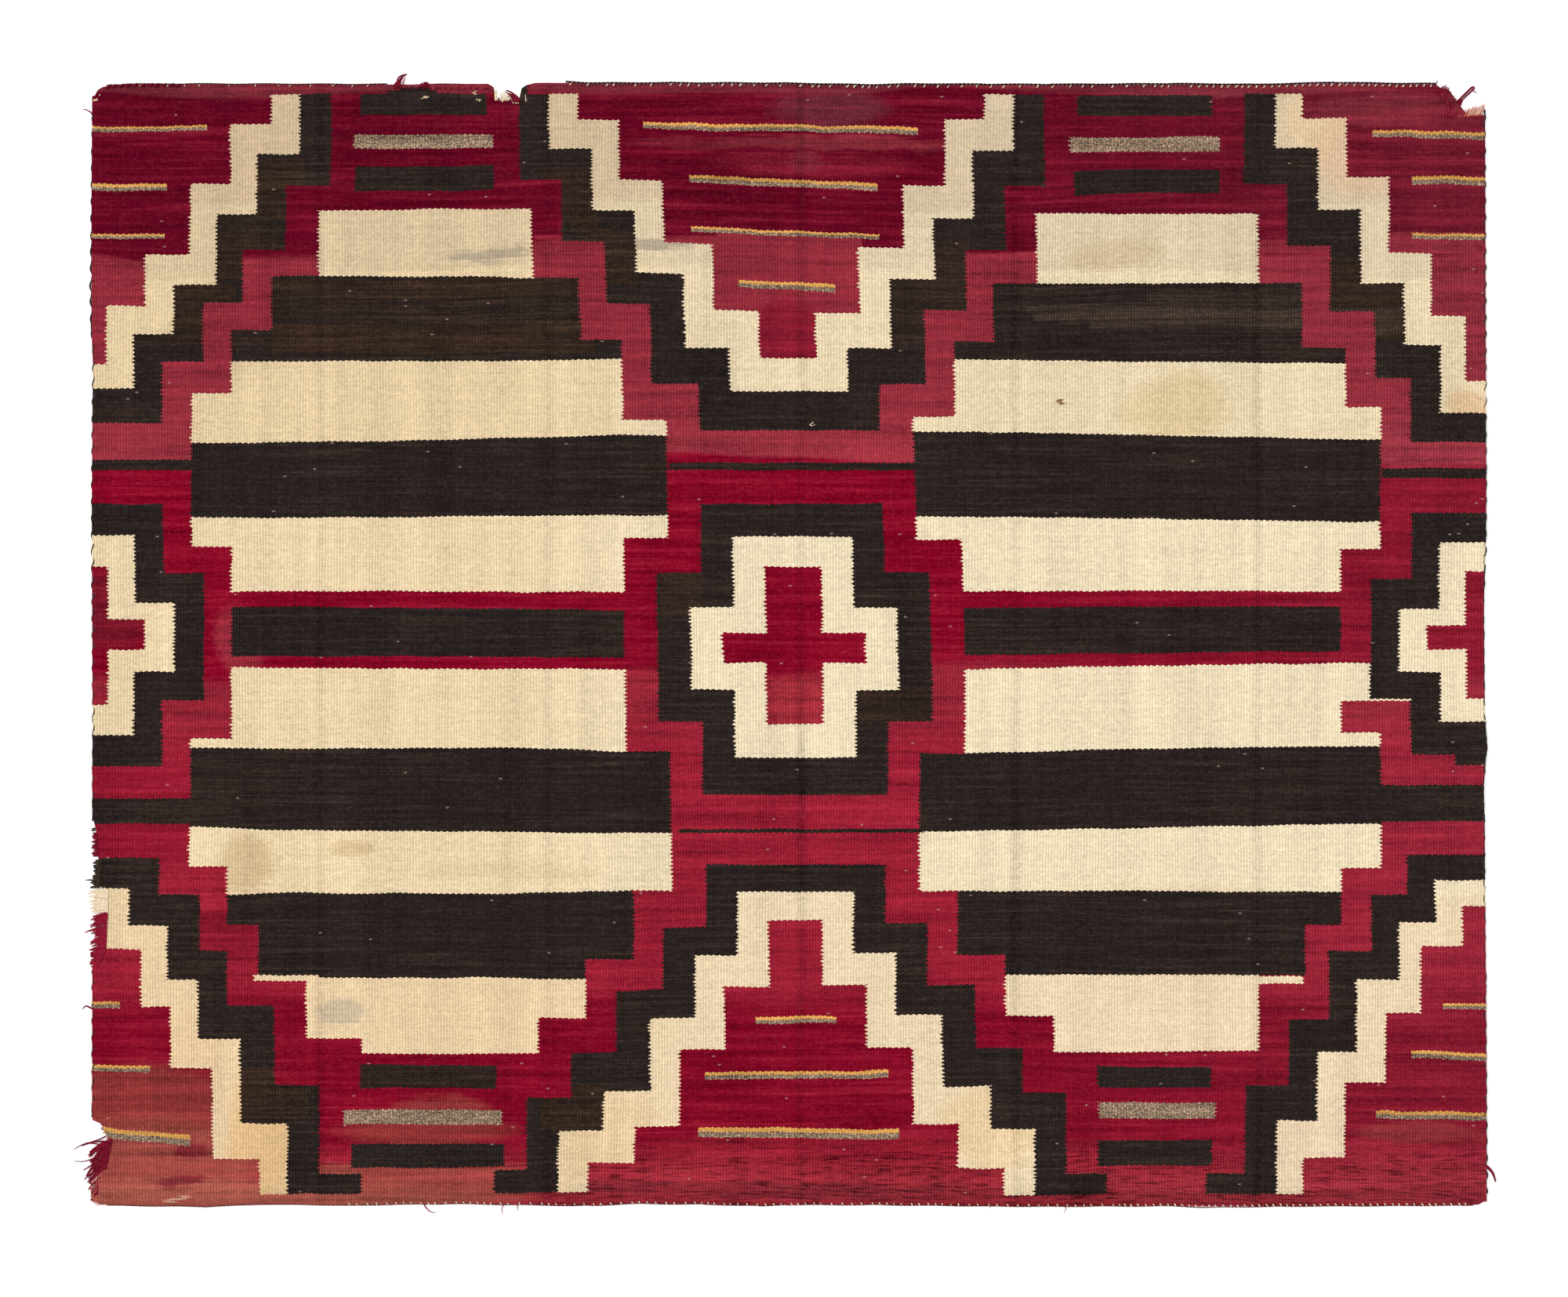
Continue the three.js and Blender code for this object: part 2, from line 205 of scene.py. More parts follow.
# %% How the ribs run
RIBS = 472
WARP_SPACING = RUG_LENGTH / RIBS
CROWN_SHARES = (0, 0.3, 0.7)  # where a rib's three columns stand in it
CROWN_HEIGHT = 2.9
VALLEY_HEIGHT = 2.1
EDGE_HEIGHT = 1.9
ROW_STEP = 480 / 13  # a row lies on each end of a zone of the pattern
ROWS_OF_WEAR = [980, 1015, 1019, 1051, 1058, 1087, 1137, 1160, 1360, 1365, 1382, 1415, 1427, 1438]
ROW_GAP = 9  # a regular row that lies nearer than this to a row of wear is left out
WORN_LEFT = [(972, 1160), (1361, 1462)]  # from and to, where the left side has no cord
TUCK = 2.2  # how far the cloth's sides reach under their cords
SIDE_FADE = 40  # the ribs run straight at the sides, and stray fully this far in
STRAYING = [(0.9, 110, 170, 0), (0.5, 41, 63, 2)]  # reach, pitch down, pitch across, shift
CREASES = [(299, 1.0), (597, 0.8), (929, 1.3), (1210, 0.8), (1528, 1.0)]  # across, height
CREASE_WIDTH = 7
CREASE_WAVER = (3, 160)  # reach and pitch
ROLL_HEIGHT = 0.25
ROLL_PITCHES = {"across": 97, "down": 83, "aslant": 260, "sway": 140}
ROLL_SWAY = 1.3


# %% Where a place on the cloth lies
def side_inset(side, down):
    """The inset of the left or right side, with the cloth's edge tucked under its cord."""
    worn = side == "left" and any(start < down < end for start, end in WORN_LEFT)
    return between(EDGE_ROWS[side], down) - (0 if worn else TUCK)


def wander(across, down):
    """How far a rib strays sideways, fading out towards the sides."""
    fade = min(1, across / SIDE_FADE, (RUG_LENGTH - across) / SIDE_FADE)
    shift = 0
    for reach, pitch_down, pitch_across, start in STRAYING:
        shift += reach * math.sin(down / pitch_down + across / pitch_across + start)
    return max(0, fade) * shift


def swell(across, down):
    """The soft unevenness of a cloth that has been folded and lies flat again."""
    ridge = 0
    for middle, height in CREASES:
        waver = CREASE_WAVER[0] * math.sin(down / CREASE_WAVER[1] + middle)
        ridge += height * math.exp(-(((across - middle - waver) / CREASE_WIDTH) ** 2))
    sway = ROLL_SWAY * math.sin(down / ROLL_PITCHES["sway"])
    aslant = down / ROLL_PITCHES["down"] + across / ROLL_PITCHES["aslant"]
    roll = math.sin(across / ROLL_PITCHES["across"] + sway) * math.sin(aslant)
    return ridge + ROLL_HEIGHT * (1 + roll)


def held_inside(across, down):
    """A place moved onto the cloth if it lies off it, and whether it was moved."""
    low = between(CLOTH_ENDS["top"], across)
    high = RUG_WIDTH - between(CLOTH_ENDS["bottom"], across)
    place_down = min(max(down, low), high)
    left = side_inset("left", place_down)
    right = RUG_LENGTH - side_inset("right", place_down)
    place_across = min(max(across, left), right)
    low = between(CLOTH_ENDS["top"], place_across)
    high = RUG_WIDTH - between(CLOTH_ENDS["bottom"], place_across)
    place_down = min(max(place_down, low), high)
    return place_across, place_down, (place_across, place_down) != (across, down)


def weaving_rows():
    regular = [k * ROW_STEP for k in range(1, math.ceil(RUG_WIDTH / ROW_STEP))]
    kept = [row for row in regular if all(abs(row - worn) > ROW_GAP for worn in ROWS_OF_WEAR)]
    return [0] + sorted(kept + ROWS_OF_WEAR) + [RUG_WIDTH]


ROWS = weaving_rows()
print(len(ROWS), "rows of points, ribs every", round(WARP_SPACING, 3), "mm")

# %% The grid of points
def grid_points(columns, heights):
    """Rows of points with the nominal place of each, across and down the weave."""
    points = []
    for down in ROWS:
        for across, height in zip(columns, heights):
            shifted = across + wander(across, down)
            x, y, moved = held_inside(shifted, down)
            lift = swell(x, y)
            top = min(height, EDGE_HEIGHT) if moved and height > 0 else height
            points.append((in_frame(x, y, top + lift), (x - shifted + across, y)))
    return points


top_columns = [(rib + share) * WARP_SPACING for rib in range(RIBS) for share in CROWN_SHARES]
top_columns.append(RUG_LENGTH)
top_heights = [VALLEY_HEIGHT, CROWN_HEIGHT, CROWN_HEIGHT] * RIBS + [VALLEY_HEIGHT]
under_columns = [rib * WARP_SPACING for rib in range(RIBS + 1)]
under_heights = [0] * (RIBS + 1)

top_points = grid_points(top_columns, top_heights)
under_points = grid_points(under_columns, under_heights)
print(len(top_points), "points on top,", len(under_points), "underneath")

# %% The faces
PER_RIB = len(CROWN_SHARES)


def cloth_faces():
    """Faces that point outwards: top, underside and the four sides."""
    wide = len(top_columns)
    narrow = len(under_columns)
    below = len(top_points)
    faces = []
    for row in range(len(ROWS) - 1):
        for k in range(wide - 1):
            a = row * wide + k
            faces.append((a, a + wide, a + wide + 1, a + 1))
        for k in range(narrow - 1):
            a = below + row * narrow + k
            faces.append((a, a + 1, a + narrow + 1, a + narrow))
        top, under = row * wide, below + row * narrow
        faces.append((under, under + narrow, top + wide, top))
        top, under = top + wide - 1, under + narrow - 1
        faces.append((under + narrow, under, top, top + wide))
    last = len(ROWS) - 1
    for rib in range(RIBS):
        top, under = rib * PER_RIB, below + rib
        faces.append((under + 1, under) + tuple(top + k for k in range(PER_RIB + 1)))
        top, under = top + last * wide, under + last * narrow
        faces.append((under, under + 1) + tuple(top + k for k in range(PER_RIB, -1, -1)))
    return faces


cloth_mesh = bpy.data.meshes.new("navajo_rug")
cloth_mesh.from_pydata([place for place, _ in top_points + under_points], [], cloth_faces())

# %% [markdown]
# ## Where the pattern is read
# The ribs of the weave stray a little, and the pattern is woven along them, so the cloth
# carries its own coordinates. "warp" counts the warps from the left. "chart" holds the
# millimetres at which the pattern is read. A hand weaver's bands don't stay level and the
# middle figures lean, so each band's height is given at seven places and the chart leans
# with the figures.

# %% The chart's heights and lean
BAND_STATIONS = (137, 260, 530, 692, 1135, 1400, 1649)
BANDS = [  # each band's wool and, at each station, how far down from the top it ends
    ("red", (169, 167, 164, 164, 170, 171, 171)),
    ("white", (252, 251, 253, 256, 262, 262, 260)),
    ("black", (365, 364, 364, 361, 362, 365, 367)),
    ("white", (472, 471, 465, 460, 454, 459, 465)),
    ("black", (569, 570, 567, 566, 569, 572, 576)),
    ("white", (667, 664, 665, 665, 664, 664, 665)),
    ("red", (688, 687, 691, 693, 692, 688, 689)),
    ("black", (750, 749, 749, 750, 745, 743, 743)),
    ("red", (765, 768, 769, 769, 770, 766, 762)),
    ("white", (870, 871, 868, 874, 878, 871, 868)),
    ("black", (974, 979, 981, 983, 980, 976, 970)),
    ("white", (1064, 1060, 1061, 1058, 1058, 1058, 1059)),
    ("black", (1172, 1173, 1173, 1177, 1169, 1169, 1170)),
    ("white", (1273, 1273, 1272, 1274, 1272, 1270, 1267)),
    ("red", (1473, 1473, 1473, 1473, 1473, 1473, 1473)),
]
AXIS_LEAN = [(60, -10.5), (154, -8), (314, -3), (457, 1), (642, 6), (807, 8), (960, 7.5)]
AXIS_LEAN += [(1220, 8.8), (1340, 10.5), (1473, 8.7)]
LEAN_FADE = [(312, 0), (582, 1), (1248, 1), (1526, 0)]
# How much lower the middle figures' right steps lie than their left ones, by height
TILT = [(90, 0), (125, 10), (305, 9), (345, 0), (1050, 0), (1090, -8), (1190, -7)]
TILT += [(1260, -4), (1330, -6), (1400, 0), (1420, 8), (1440, 4)]
TILT_REACH = 200
TILT_LIMIT = 1.2  # past this many reaches from the middle the tilt stays the same
TILT_FADE = [(480, 0), (600, 1), (1240, 1), (1360, 0)]
RISE = 0.9  # the figures lie this much higher than their tables say


# %% The chart at every point
def band_place(across, down):
    """The height at the left where the same band lies."""
    shares = []
    for k in range(len(BAND_STATIONS)):
        rows = [(0, 0)] + [(ends[k], ends[0]) for _, ends in BANDS]
        shares.append((BAND_STATIONS[k], rows))
    places = [(station, between(rows, down)) for station, rows in shares]
    return between(places, across)


def chart_place(across, down):
    """Where the pattern is read: across for the figures, down for them, down for the bands."""
    lean = between(AXIS_LEAN, down) * between(LEAN_FADE, across)
    aside = (across - RUG_LENGTH / 2 - lean) / TILT_REACH
    aside = max(-TILT_LIMIT, min(TILT_LIMIT, aside))
    tilt = between(TILT, down) / 2 * aside * between(TILT_FADE, across)
    return (across - lean, down - tilt + RISE, band_place(across, down))


nominal = [place for _, place in top_points + under_points]
chart = cloth_mesh.attributes.new("chart", "FLOAT_VECTOR", "POINT")
chart.data.foreach_set("vector", [value for place in nominal for value in chart_place(*place)])
warps = cloth_mesh.attributes.new("warp", "FLOAT", "POINT")
warps.data.foreach_set("value", [across / WARP_SPACING for across, _ in nominal])
print("chart stored at", len(nominal), "points")

# %% One closed sheet
MERGE = 0.05 * MM


def closed_sheet(mesh):
    """Merges the points that fell together and reports what is left open."""
    cloth = bmesh.new()
    cloth.from_mesh(mesh)
    bmesh.ops.remove_doubles(cloth, verts=cloth.verts, dist=MERGE)
    bmesh.ops.dissolve_degenerate(cloth, edges=cloth.edges, dist=MERGE / 5)
    open_edges = sum(1 for edge in cloth.edges if len(edge.link_faces) != 2)
    triangles = sum(len(face.verts) - 2 for face in cloth.faces)
    litres = cloth.calc_volume() * 1000
    print(f"cloth: {triangles} triangles, {open_edges} open edges, {litres:.2f} litres")
    for face in cloth.faces:
        face.smooth = True
    cloth.to_mesh(mesh)
    cloth.free()


closed_sheet(cloth_mesh)
rug = bpy.data.objects.new("navajo_rug", cloth_mesh)
bpy.context.collection.objects.link(rug)

# %% [markdown]
# The colours of this piece can be baked into one picture. Its map spreads the sheet over
# nearly the whole picture. The top and the underside share it, because this weave
# shows the same pattern on both faces.

# %% The map for the bake
BAKE_MARGIN = 0.01


def add_bake_map(mesh):
    layer = mesh.uv_layers.new(name="OFBake")
    scale = (1 - 2 * BAKE_MARGIN) / (RUG_LENGTH * MM)
    bottom = RECTANGLE_TOP - RUG_WIDTH * MM
    for loop in mesh.loops:
        x, y, _ = mesh.vertices[loop.vertex_index].co
        across = BAKE_MARGIN + (x - RECTANGLE_LEFT) * scale
        upward = BAKE_MARGIN + (y - bottom) * scale
        layer.data[loop.index].uv = (across, upward)


add_bake_map(cloth_mesh)
print("bake map on", len(cloth_mesh.loops), "corners")

# %% [markdown]
# ## Materials in small steps
# A material is a net of nodes. Written one by one they are hard to read, so two small
# helpers are used: Value wraps a socket, and sums on it add the Math nodes; Recipe adds
# any other node from its type, its settings and the values or links of its sockets.

# %% Helpers for node trees
class Value:
    """A socket whose sums and comparisons add Math nodes."""

    def __init__(self, socket):
        self.socket = socket

    def math(self, operation, *others, swapped=False):
        tree = self.socket.id_data
        node = tree.nodes.new("ShaderNodeMath")
        node.operation = operation
        terms = [*others, self] if swapped else [self, *others]
        for socket, term in zip(node.inputs, terms):
            connect(tree, socket, term)
        return Value(node.outputs[0])

    def __add__(self, other):
        return self.math("ADD", other)

    def __radd__(self, other):
        return self.math("ADD", other, swapped=True)

    def __sub__(self, other):
        return self.math("SUBTRACT", other)

    def __rsub__(self, other):
        return self.math("SUBTRACT", other, swapped=True)

    def __mul__(self, other):
        return self.math("MULTIPLY", other)

    def __rmul__(self, other):
        return self.math("MULTIPLY", other, swapped=True)

    def __truediv__(self, other):
        return self.math("DIVIDE", other)

    def __rtruediv__(self, other):
        return self.math("DIVIDE", other, swapped=True)

    def __lt__(self, other):
        return self.math("LESS_THAN", other)

    def __gt__(self, other):
        return self.math("GREATER_THAN", other)


# %% Nodes for one tree
def connect(tree, socket, term):
    """Links a Value to a socket, or sets the socket to a plain value."""
    if isinstance(term, Value):
        tree.links.new(term.socket, socket)
    else:
        socket.default_value = term


class Recipe:
    """Adds nodes to one tree."""

    def __init__(self, tree):
        self.tree = tree

    def node(self, kind, settings, sockets, output=0):
        node = self.tree.nodes.new(kind)
        for name, value in settings.items():
            setattr(node, name, value)
        for key, term in sockets.items():
            connect(self.tree, node.inputs[key], term)
        return Value(node.outputs[output])

    def steps(self, place, stops, soft=False):
        """A ramp's colour, which steps, or blends softly, at the stops."""
        node = self.tree.nodes.new("ShaderNodeValToRGB")
        ramp = node.color_ramp
        ramp.interpolation = "LINEAR" if soft else "CONSTANT"
        while len(ramp.elements) < len(stops):
            ramp.elements.new(1)
        for element, (position, colour) in zip(ramp.elements, stops):
            element.position = position
            element.color = colour
        connect(self.tree, node.inputs[0], place)
        return Value(node.outputs[0])

    def blend(self, share, first, second, way="MIX"):
        """Two colours in one, the second as strong as the share says."""
        settings = {"data_type": "RGBA", "blend_type": way}
        sockets = {0: share, 6: first, 7: second}
        return self.node("ShaderNodeMix", settings, sockets, 2)

    def split(self, colour):
        parts = self.tree.nodes.new("ShaderNodeSeparateXYZ")
        connect(self.tree, parts.inputs[0], colour)
        return [Value(output) for output in parts.outputs]

    def place(self, x, y, z=0):
        return self.node("ShaderNodeCombineXYZ", {}, {"X": x, "Y": y, "Z": z})

    def noise(self, vector, detail=2, roughness=0.5):
        settings = {"noise_dimensions": "2D"}
        sockets = {"Vector": vector, "Scale": 1, "Detail": detail, "Roughness": roughness}
        return self.node("ShaderNodeTexNoise", settings, sockets)

    def chance(self, vector):
        """A random number from 0 to 1 that is the same all over a whole-numbered place."""
        settings = {"noise_dimensions": "2D"}
        return self.node("ShaderNodeTexWhiteNoise", settings, {"Vector": vector})

    def vector(self, operation, sockets, output=0):
        return self.node("ShaderNodeVectorMath", {"operation": operation}, sockets, output)

    def attribute(self, name, output="Vector"):
        return self.node("ShaderNodeAttribute", {"attribute_name": name}, {}, output)


def new_material(name):
    """An empty material, its recipe and its one shader."""
    material = bpy.data.materials.new(name)
    material.use_nodes = True
    return material, Recipe(material.node_tree), material.node_tree.nodes["Principled BSDF"]


def dull_wool(recipe, shader, colour, roughness):
    """Gives a shader its colour and takes away all shine."""
    connect(recipe.tree, shader.inputs["Base Color"], colour)
    shader.inputs["Roughness"].default_value = roughness
    shader.inputs["Specular IOR Level"].default_value = 0.0


def add_bump(recipe, shader, height, strength, distance):
    sockets = {"Strength": strength, "Distance": distance, "Height": height}
    connect(recipe.tree, shader.inputs["Normal"], recipe.node("ShaderNodeBump", {}, sockets))


# %% [markdown]
# ## The pattern as a chart
# The figures are stepped, and each one has three layers: a red core, a white frame and a
# black outline, on red ground. They all grow from the left edge, the middle or the right
# edge. So one number is enough across: the distance to the nearest of these three lines,
# which Ping-Pong makes. Down the weave, each layer's reach from its line is a short list of
# steps. Ramps with constant steps look the reaches up: one ramp holds those of the three
# layers, as its red, green and blue, and another the ground's in the three columns. A ramp
# holds at most 32 stops, so the rug is divided into three zones with ramps of their own.

# %% The figures' reaches, in millimetres
# Each row is (until this height, reach from the line); the next row starts there.
FIGURES = {
    "left": {
        "core": [
            (15, 0), (53, 235), (132, 181), (225, 129), (292, 70), (368, 20), (635, 0),
            (704, 22), (742, 69), (816, 21), (1088, 0), (1136, 19), (1211, 66), (1290, 104),
            (1411, 158), (1456, 219),
        ],
        "frame": [
            (15, 0), (93, 272), (173, 216), (265, 164), (330, 108), (401, 56), (594, 0),
            (681, 57), (773, 108), (854, 55), (1056, 0), (1104, 50), (1176, 100), (1253, 140),
            (1365, 195), (1456, 256),
        ],
        "outline": [
            (15, 0), (135, 314), (219, 255), (289, 199), (366, 147), (446, 93), (552, 0),
            (643, 95), (810, 147), (896, 92), (1017, 0), (1065, 90), (1138, 143), (1210, 178),
            (1315, 240), (1430, 298), (1456, 353),
        ],
        "ground": [
            (150, 0), (252, 299), (324, 237), (406, 184), (606, 132), (858, 183), (1026, 129),
            (1105, 179), (1172, 219), (1252, 282), (1290, 352),
        ],
    },
    "middle": {
        "core": [
            (15, 0), (49, 266), (130, 213), (214, 157), (300, 96), (361, 37), (635, 0),
            (721, 37), (761, 94), (841, 37), (1098, 0), (1185, 35), (1266, 94), (1366, 153),
            (1418, 212), (1457, 272),
        ],
        "frame": [
            (15, 0), (87, 304), (172, 249), (253, 195), (347, 135), (404, 77), (595, 0),
            (688, 78), (795, 135), (884, 79), (1061, 0), (1143, 76), (1224, 132), (1319, 192),
            (1372, 254), (1457, 312),
        ],
        "outline": [
            (15, 0), (130, 344), (214, 290), (295, 236), (394, 180), (455, 119), (551, 0),
            (642, 120), (837, 179), (934, 121), (1024, 0), (1104, 118), (1187, 174), (1267, 236),
            (1327, 296), (1427, 354), (1457, 394),
        ],
        "ground": [
            (150, 0), (252, 330), (338, 271), (451, 219), (599, 163), (870, 222), (1064, 163),
            (1146, 213), (1223, 276), (1290, 338),
        ],
    },
    "right": {
        "core": [
            (15, 0), (46, 242), (122, 183), (224, 128), (306, 73), (390, 29), (641, 0),
            (711, 28), (742, 78), (807, 26), (1080, 0), (1132, 33), (1219, 88), (1309, 133),
            (1408, 186), (1457, 241),
        ],
        "frame": [
            (15, 0), (86, 277), (166, 220), (262, 165), (343, 108), (431, 62), (603, 0),
            (690, 62), (772, 114), (837, 60), (1045, 0), (1101, 68), (1176, 116), (1269, 172),
            (1361, 223), (1457, 275),
        ],
        "outline": [
            (15, 0), (133, 318), (214, 261), (301, 205), (386, 147), (472, 101), (564, 0),
            (650, 99), (808, 152), (880, 99), (895, 42), (1012, 0), (1064, 105), (1138, 152),
            (1228, 208), (1315, 261), (1430, 318), (1457, 370),
        ],
        "ground": [
            (150, 0), (252, 299), (343, 242), (428, 186), (606, 140), (765, 192), (811, 0),
            (852, 190), (1034, 139), (1107, 191), (1172, 239), (1290, 300),
        ],
    },
}

# %% Zones, and the reaches at a height
ZONES = {"top": (0, 480), "middle": (480, 960), "bottom": (960, 1473)}
OVERLAP = 12  # how far each zone's ramps reach past its ends, in millimetres
LINE_SPACING = RUG_LENGTH / 2


def figure_layers(side):
    return [FIGURES[side][layer] for layer in ("core", "frame", "outline")]


def reach_at(rows, height):
    for until, reach in rows:
        if height < until:
            return reach
    return 0


def look_up(recipe, down, layers, zone):
    """The layers' reaches at a height in one zone, as a colour."""
    start, end = ZONES[zone][0] - OVERLAP, ZONES[zone][1] + OVERLAP
    heights = {until for rows in layers for until, _ in rows if start < until < end}
    stops = []
    for height in [start] + sorted(heights):
        reaches = [reach_at(rows, height) for rows in layers]
        stops.append(((height - start) / (end - start), reaches + [0.0] * (4 - len(reaches))))
    return recipe.steps((down - start) / (end - start), stops)


for side, layers in FIGURES.items():
    print(side, "figures:", {layer: len(rows) for layer, rows in layers.items()}, "rows")

# %% Bars, stripes and lines, in millimetres
# Each bar is (from, to) across and (from, to) down.
BLACK_BARS = [
    (351, 519, 15, 43), (346, 528, 110, 143), (1293, 1469, 17, 44), (1288, 1480, 115, 145),
    (351, 531, 1288, 1319), (340, 541, 1392, 1423), (1319, 1467, 1291, 1318),
    (1319, 1469, 1387, 1420), (1305, 1331, 1430, 1457), (562, 572, 2, 16),
    (388, 452, 11, 16), (403, 442, 6.5, 12),
]
GREY_BARS = [
    (344, 527, 69, 87), (1283, 1479, 72, 91), (329, 538, 1347, 1366), (1321, 1473, 1338, 1359),
]
THIN_LINES = [
    (-9, 132, 495, 509), (754, 1081, 499, 509), (1691, 1839, 506, 519), (762, 1085, 979, 984),
    (-9, 129, 939, 972), (1691, 1839, 921, 969),
]
# Each stripe is (from, to) across, (from, to) down and how much lower its right end lies.
STRIPES = [
    (-9, 151, 57, 64, 1), (-9, 98, 133, 142, 0), (-9, 95, 199, 205, 0),
    (724, 1083, 52, 61, 7), (785, 1030, 124, 134, 6), (786, 1033, 192, 199, 4),
    (848, 975, 260, 270, 4), (1681, 1839, 63, 72, 3), (1732, 1839, 123, 134, 1),
    (1732, 1839, 199, 206, 0), (-9, 38, 1205, 1214, 0), (-9, 78, 1287, 1295, 3),
    (13, 129, 1371, 1384, 11), (871, 978, 1224, 1233, 1), (805, 1046, 1296, 1306, 1),
    (797, 1059, 1370, 1383, 3), (1772, 1839, 1206, 1214, 3), (1731, 1839, 1270, 1280, 4),
    (1685, 1839, 1349, 1359, 2),
]
YELLOW_SHARE = 0.42  # of a stripe's height


# %% Where a bar or a stripe shows
def inside(place, start, end):
    """One where the place lies between the two ends, and nothing elsewhere."""
    return place.math("COMPARE", (start + end) / 2, (end - start) / 2)


def in_zone(top, bottom, zone):
    start, end = ZONES[zone]
    return top < end + OVERLAP and bottom > start - OVERLAP


def bar_share(across, down, bars, zone):
    """One on any of the bars in a zone."""
    total = across * 0
    for left, right, top, bottom in bars:
        if not in_zone(top, bottom, zone):
            continue
        share = inside(across, left, right) * inside(down, top, bottom)
        total = total + share
    return total


def stripe_shares(across, down, zone):
    """One on the yellow upper part of the stripes, and one on their grey lower part."""
    yellow, grey = across * 0, across * 0
    for left, right, top, bottom, drop in STRIPES:
        if not in_zone(top, bottom, zone):
            continue
        level = down - (across - left) * (drop / (right - left)) if drop else down
        on = inside(across, left, right)
        middle = top + YELLOW_SHARE * (bottom - top)
        upper = on * inside(level, top, middle)
        lower = on * inside(level, middle, bottom)
        yellow = yellow + upper
        grey = grey + lower
    return yellow, grey


# %% [markdown]
# ## Wool
# Each batch of yarn was dyed by hand, so the reds differ from one part of the rug to the
# next, and the white and the black are natural fleece, carded by hand. The colours change
# with the height on the rug, because the weaver worked upwards and took new yarn on the
# way. So a lot starts at a certain weft, and the change is sharp.

# %% Dyes and fleeces, as linear colours
DEEP_CRIMSON = (0.131, 0.0022, 0.0150)
CRIMSON = (0.236, 0.0018, 0.0176)
MID_CRIMSON = (0.222, 0.0026, 0.0178)
ROSE_CRIMSON = (0.315, 0.0135, 0.032)
ROSE = (0.27, 0.0255, 0.0405)
BRIGHT_ROSE = (0.305, 0.019, 0.036)
PALE_ROSE = (0.325, 0.033, 0.05)
FADED_BORDER = (0.215, 0.026, 0.040)
RIGHT_ROSE = (0.26, 0.035, 0.053)
TERRACOTTA = (0.35, 0.070, 0.056)
PALE_TERRACOTTA = (0.265, 0.035, 0.034)
BROWN_RED = (0.16, 0.012, 0.022)
LOWER_CRIMSON = (0.30, 0.0125, 0.029)
# the lowest lot is a paler rose, painted a little lighter as well against the shade of the
# sloping bottom edge
LOWER_ROSE = (0.37, 0.028, 0.043)
CREAM = (0.775, 0.605, 0.37)
PALE_CREAM = (0.82, 0.655, 0.415)
DULL_CREAM = (0.63, 0.475, 0.30)
OLD_CREAM = (0.69, 0.54, 0.34)
LOWER_CREAM = (0.80, 0.61, 0.375)
BLACK = (0.0225, 0.016, 0.0142)
BROWN_BLACK = (0.040, 0.0215, 0.0125)
GREY_BROWN = (0.062, 0.042, 0.030)
# pale fluff, with the sheen on it painted into the colour
FLUFF_AND_SHEEN = (0.6, 0.38, 0.34)
GREY_DARK = (0.10, 0.068, 0.05)
GREY_PALE = (0.52, 0.36, 0.235)
YELLOW = (0.66, 0.335, 0.085)

# The height in millimetres down to which each lot was used, and how gradually it ends
RED_LOTS = [
    (14, FADED_BORDER, 6), (222, DEEP_CRIMSON, 4), (425, ROSE, 120), (497, PALE_ROSE, 4),
    (775, CRIMSON, 10), (855, BRIGHT_ROSE, 50), (1205, ROSE_CRIMSON, 40), (1388, MID_CRIMSON, 12),
    (1425, LOWER_CRIMSON, 40), (1473, LOWER_ROSE, 1),
]
WHITE_LOTS = [
    (160, DULL_CREAM, 5), (250, OLD_CREAM, 5), (480, CREAM, 5), (1060, PALE_CREAM, 5),
    (1473, LOWER_CREAM, 1),
]
RIGHT_WHITE = (1.03, 1.09, 1.18)  # the fleece on the right is paler and less yellow


def opaque(colour):
    return (*colour, 1.0)


def lots(recipe, down, rows):
    """The colour of the lot in use at a height."""
    stops = [(0.0, opaque(rows[0][1]))]
    for (until, colour, blend), (_, following, _) in zip(rows, rows[1:]):
        stops.append(((until - blend / 2) / RUG_WIDTH, opaque(colour)))
        stops.append(((until + blend / 2) / RUG_WIDTH, opaque(following)))
    return recipe.steps(down / RUG_WIDTH, stops, soft=True)


# %% [markdown]
# ## Odd lots and marks of use
# Here and there a different batch was used for a while, such as brown fleece among the
# black. It fills a block of wefts, so its ends are sharp up and down the rug. Parts of the
# rug have also faded, and it has a few stains: those are soft round patches.

# %% Blocks: from and to across, from and to down, strength
BROWN_BLOCKS = [
    (215, 280, 100, 178, 0.6), (165, 245, 178, 200, 0.3), (165, 245, 200, 258, 0.6),
    (105, 190, 264, 346, 0.6), (236, 640, 258, 283, 0.6), (236, 640, 283, 318, 0.25),
    (236, 660, 318, 356, 0.75), (55, 236, 334, 346, 0.4), (590, 665, 114, 196, 0.6),
    (640, 715, 196, 272, 0.6), (1040, 1150, 200, 345, 0.4), (1600, 1720, 232, 336, 0.6),
    (740, 800, 640, 700, 0.5), (1005, 1105, 795, 840, 0.5), (190, 282, 1290, 1358, 0.6),
    (590, 672, 1312, 1372, 0.7), (-9, 60, 428, 452, 0.3), (340, 530, 1286, 1322, 0.3),
]
GREY_BROWN_BLOCKS = [
    (1225, 1594, 289, 299, 0.35), (1236, 1594, 299, 309, 0.8), (1270, 1594, 309, 315, 0.4),
    (1310, 1594, 315, 323, 0.7), (1600, 1720, 296, 330, 0.5), (1385, 1594, 270, 289, 0.25),
]
ROSE_BLOCKS = [
    (820, 1010, 200, 224, 1.0), (1525, 1640, 206, 224, 0.8), (1640, 1839, 197, 224, 0.9),
    (583, 668, 206, 212, 0.5), (320, 440, 194, 200, 0.3),
]

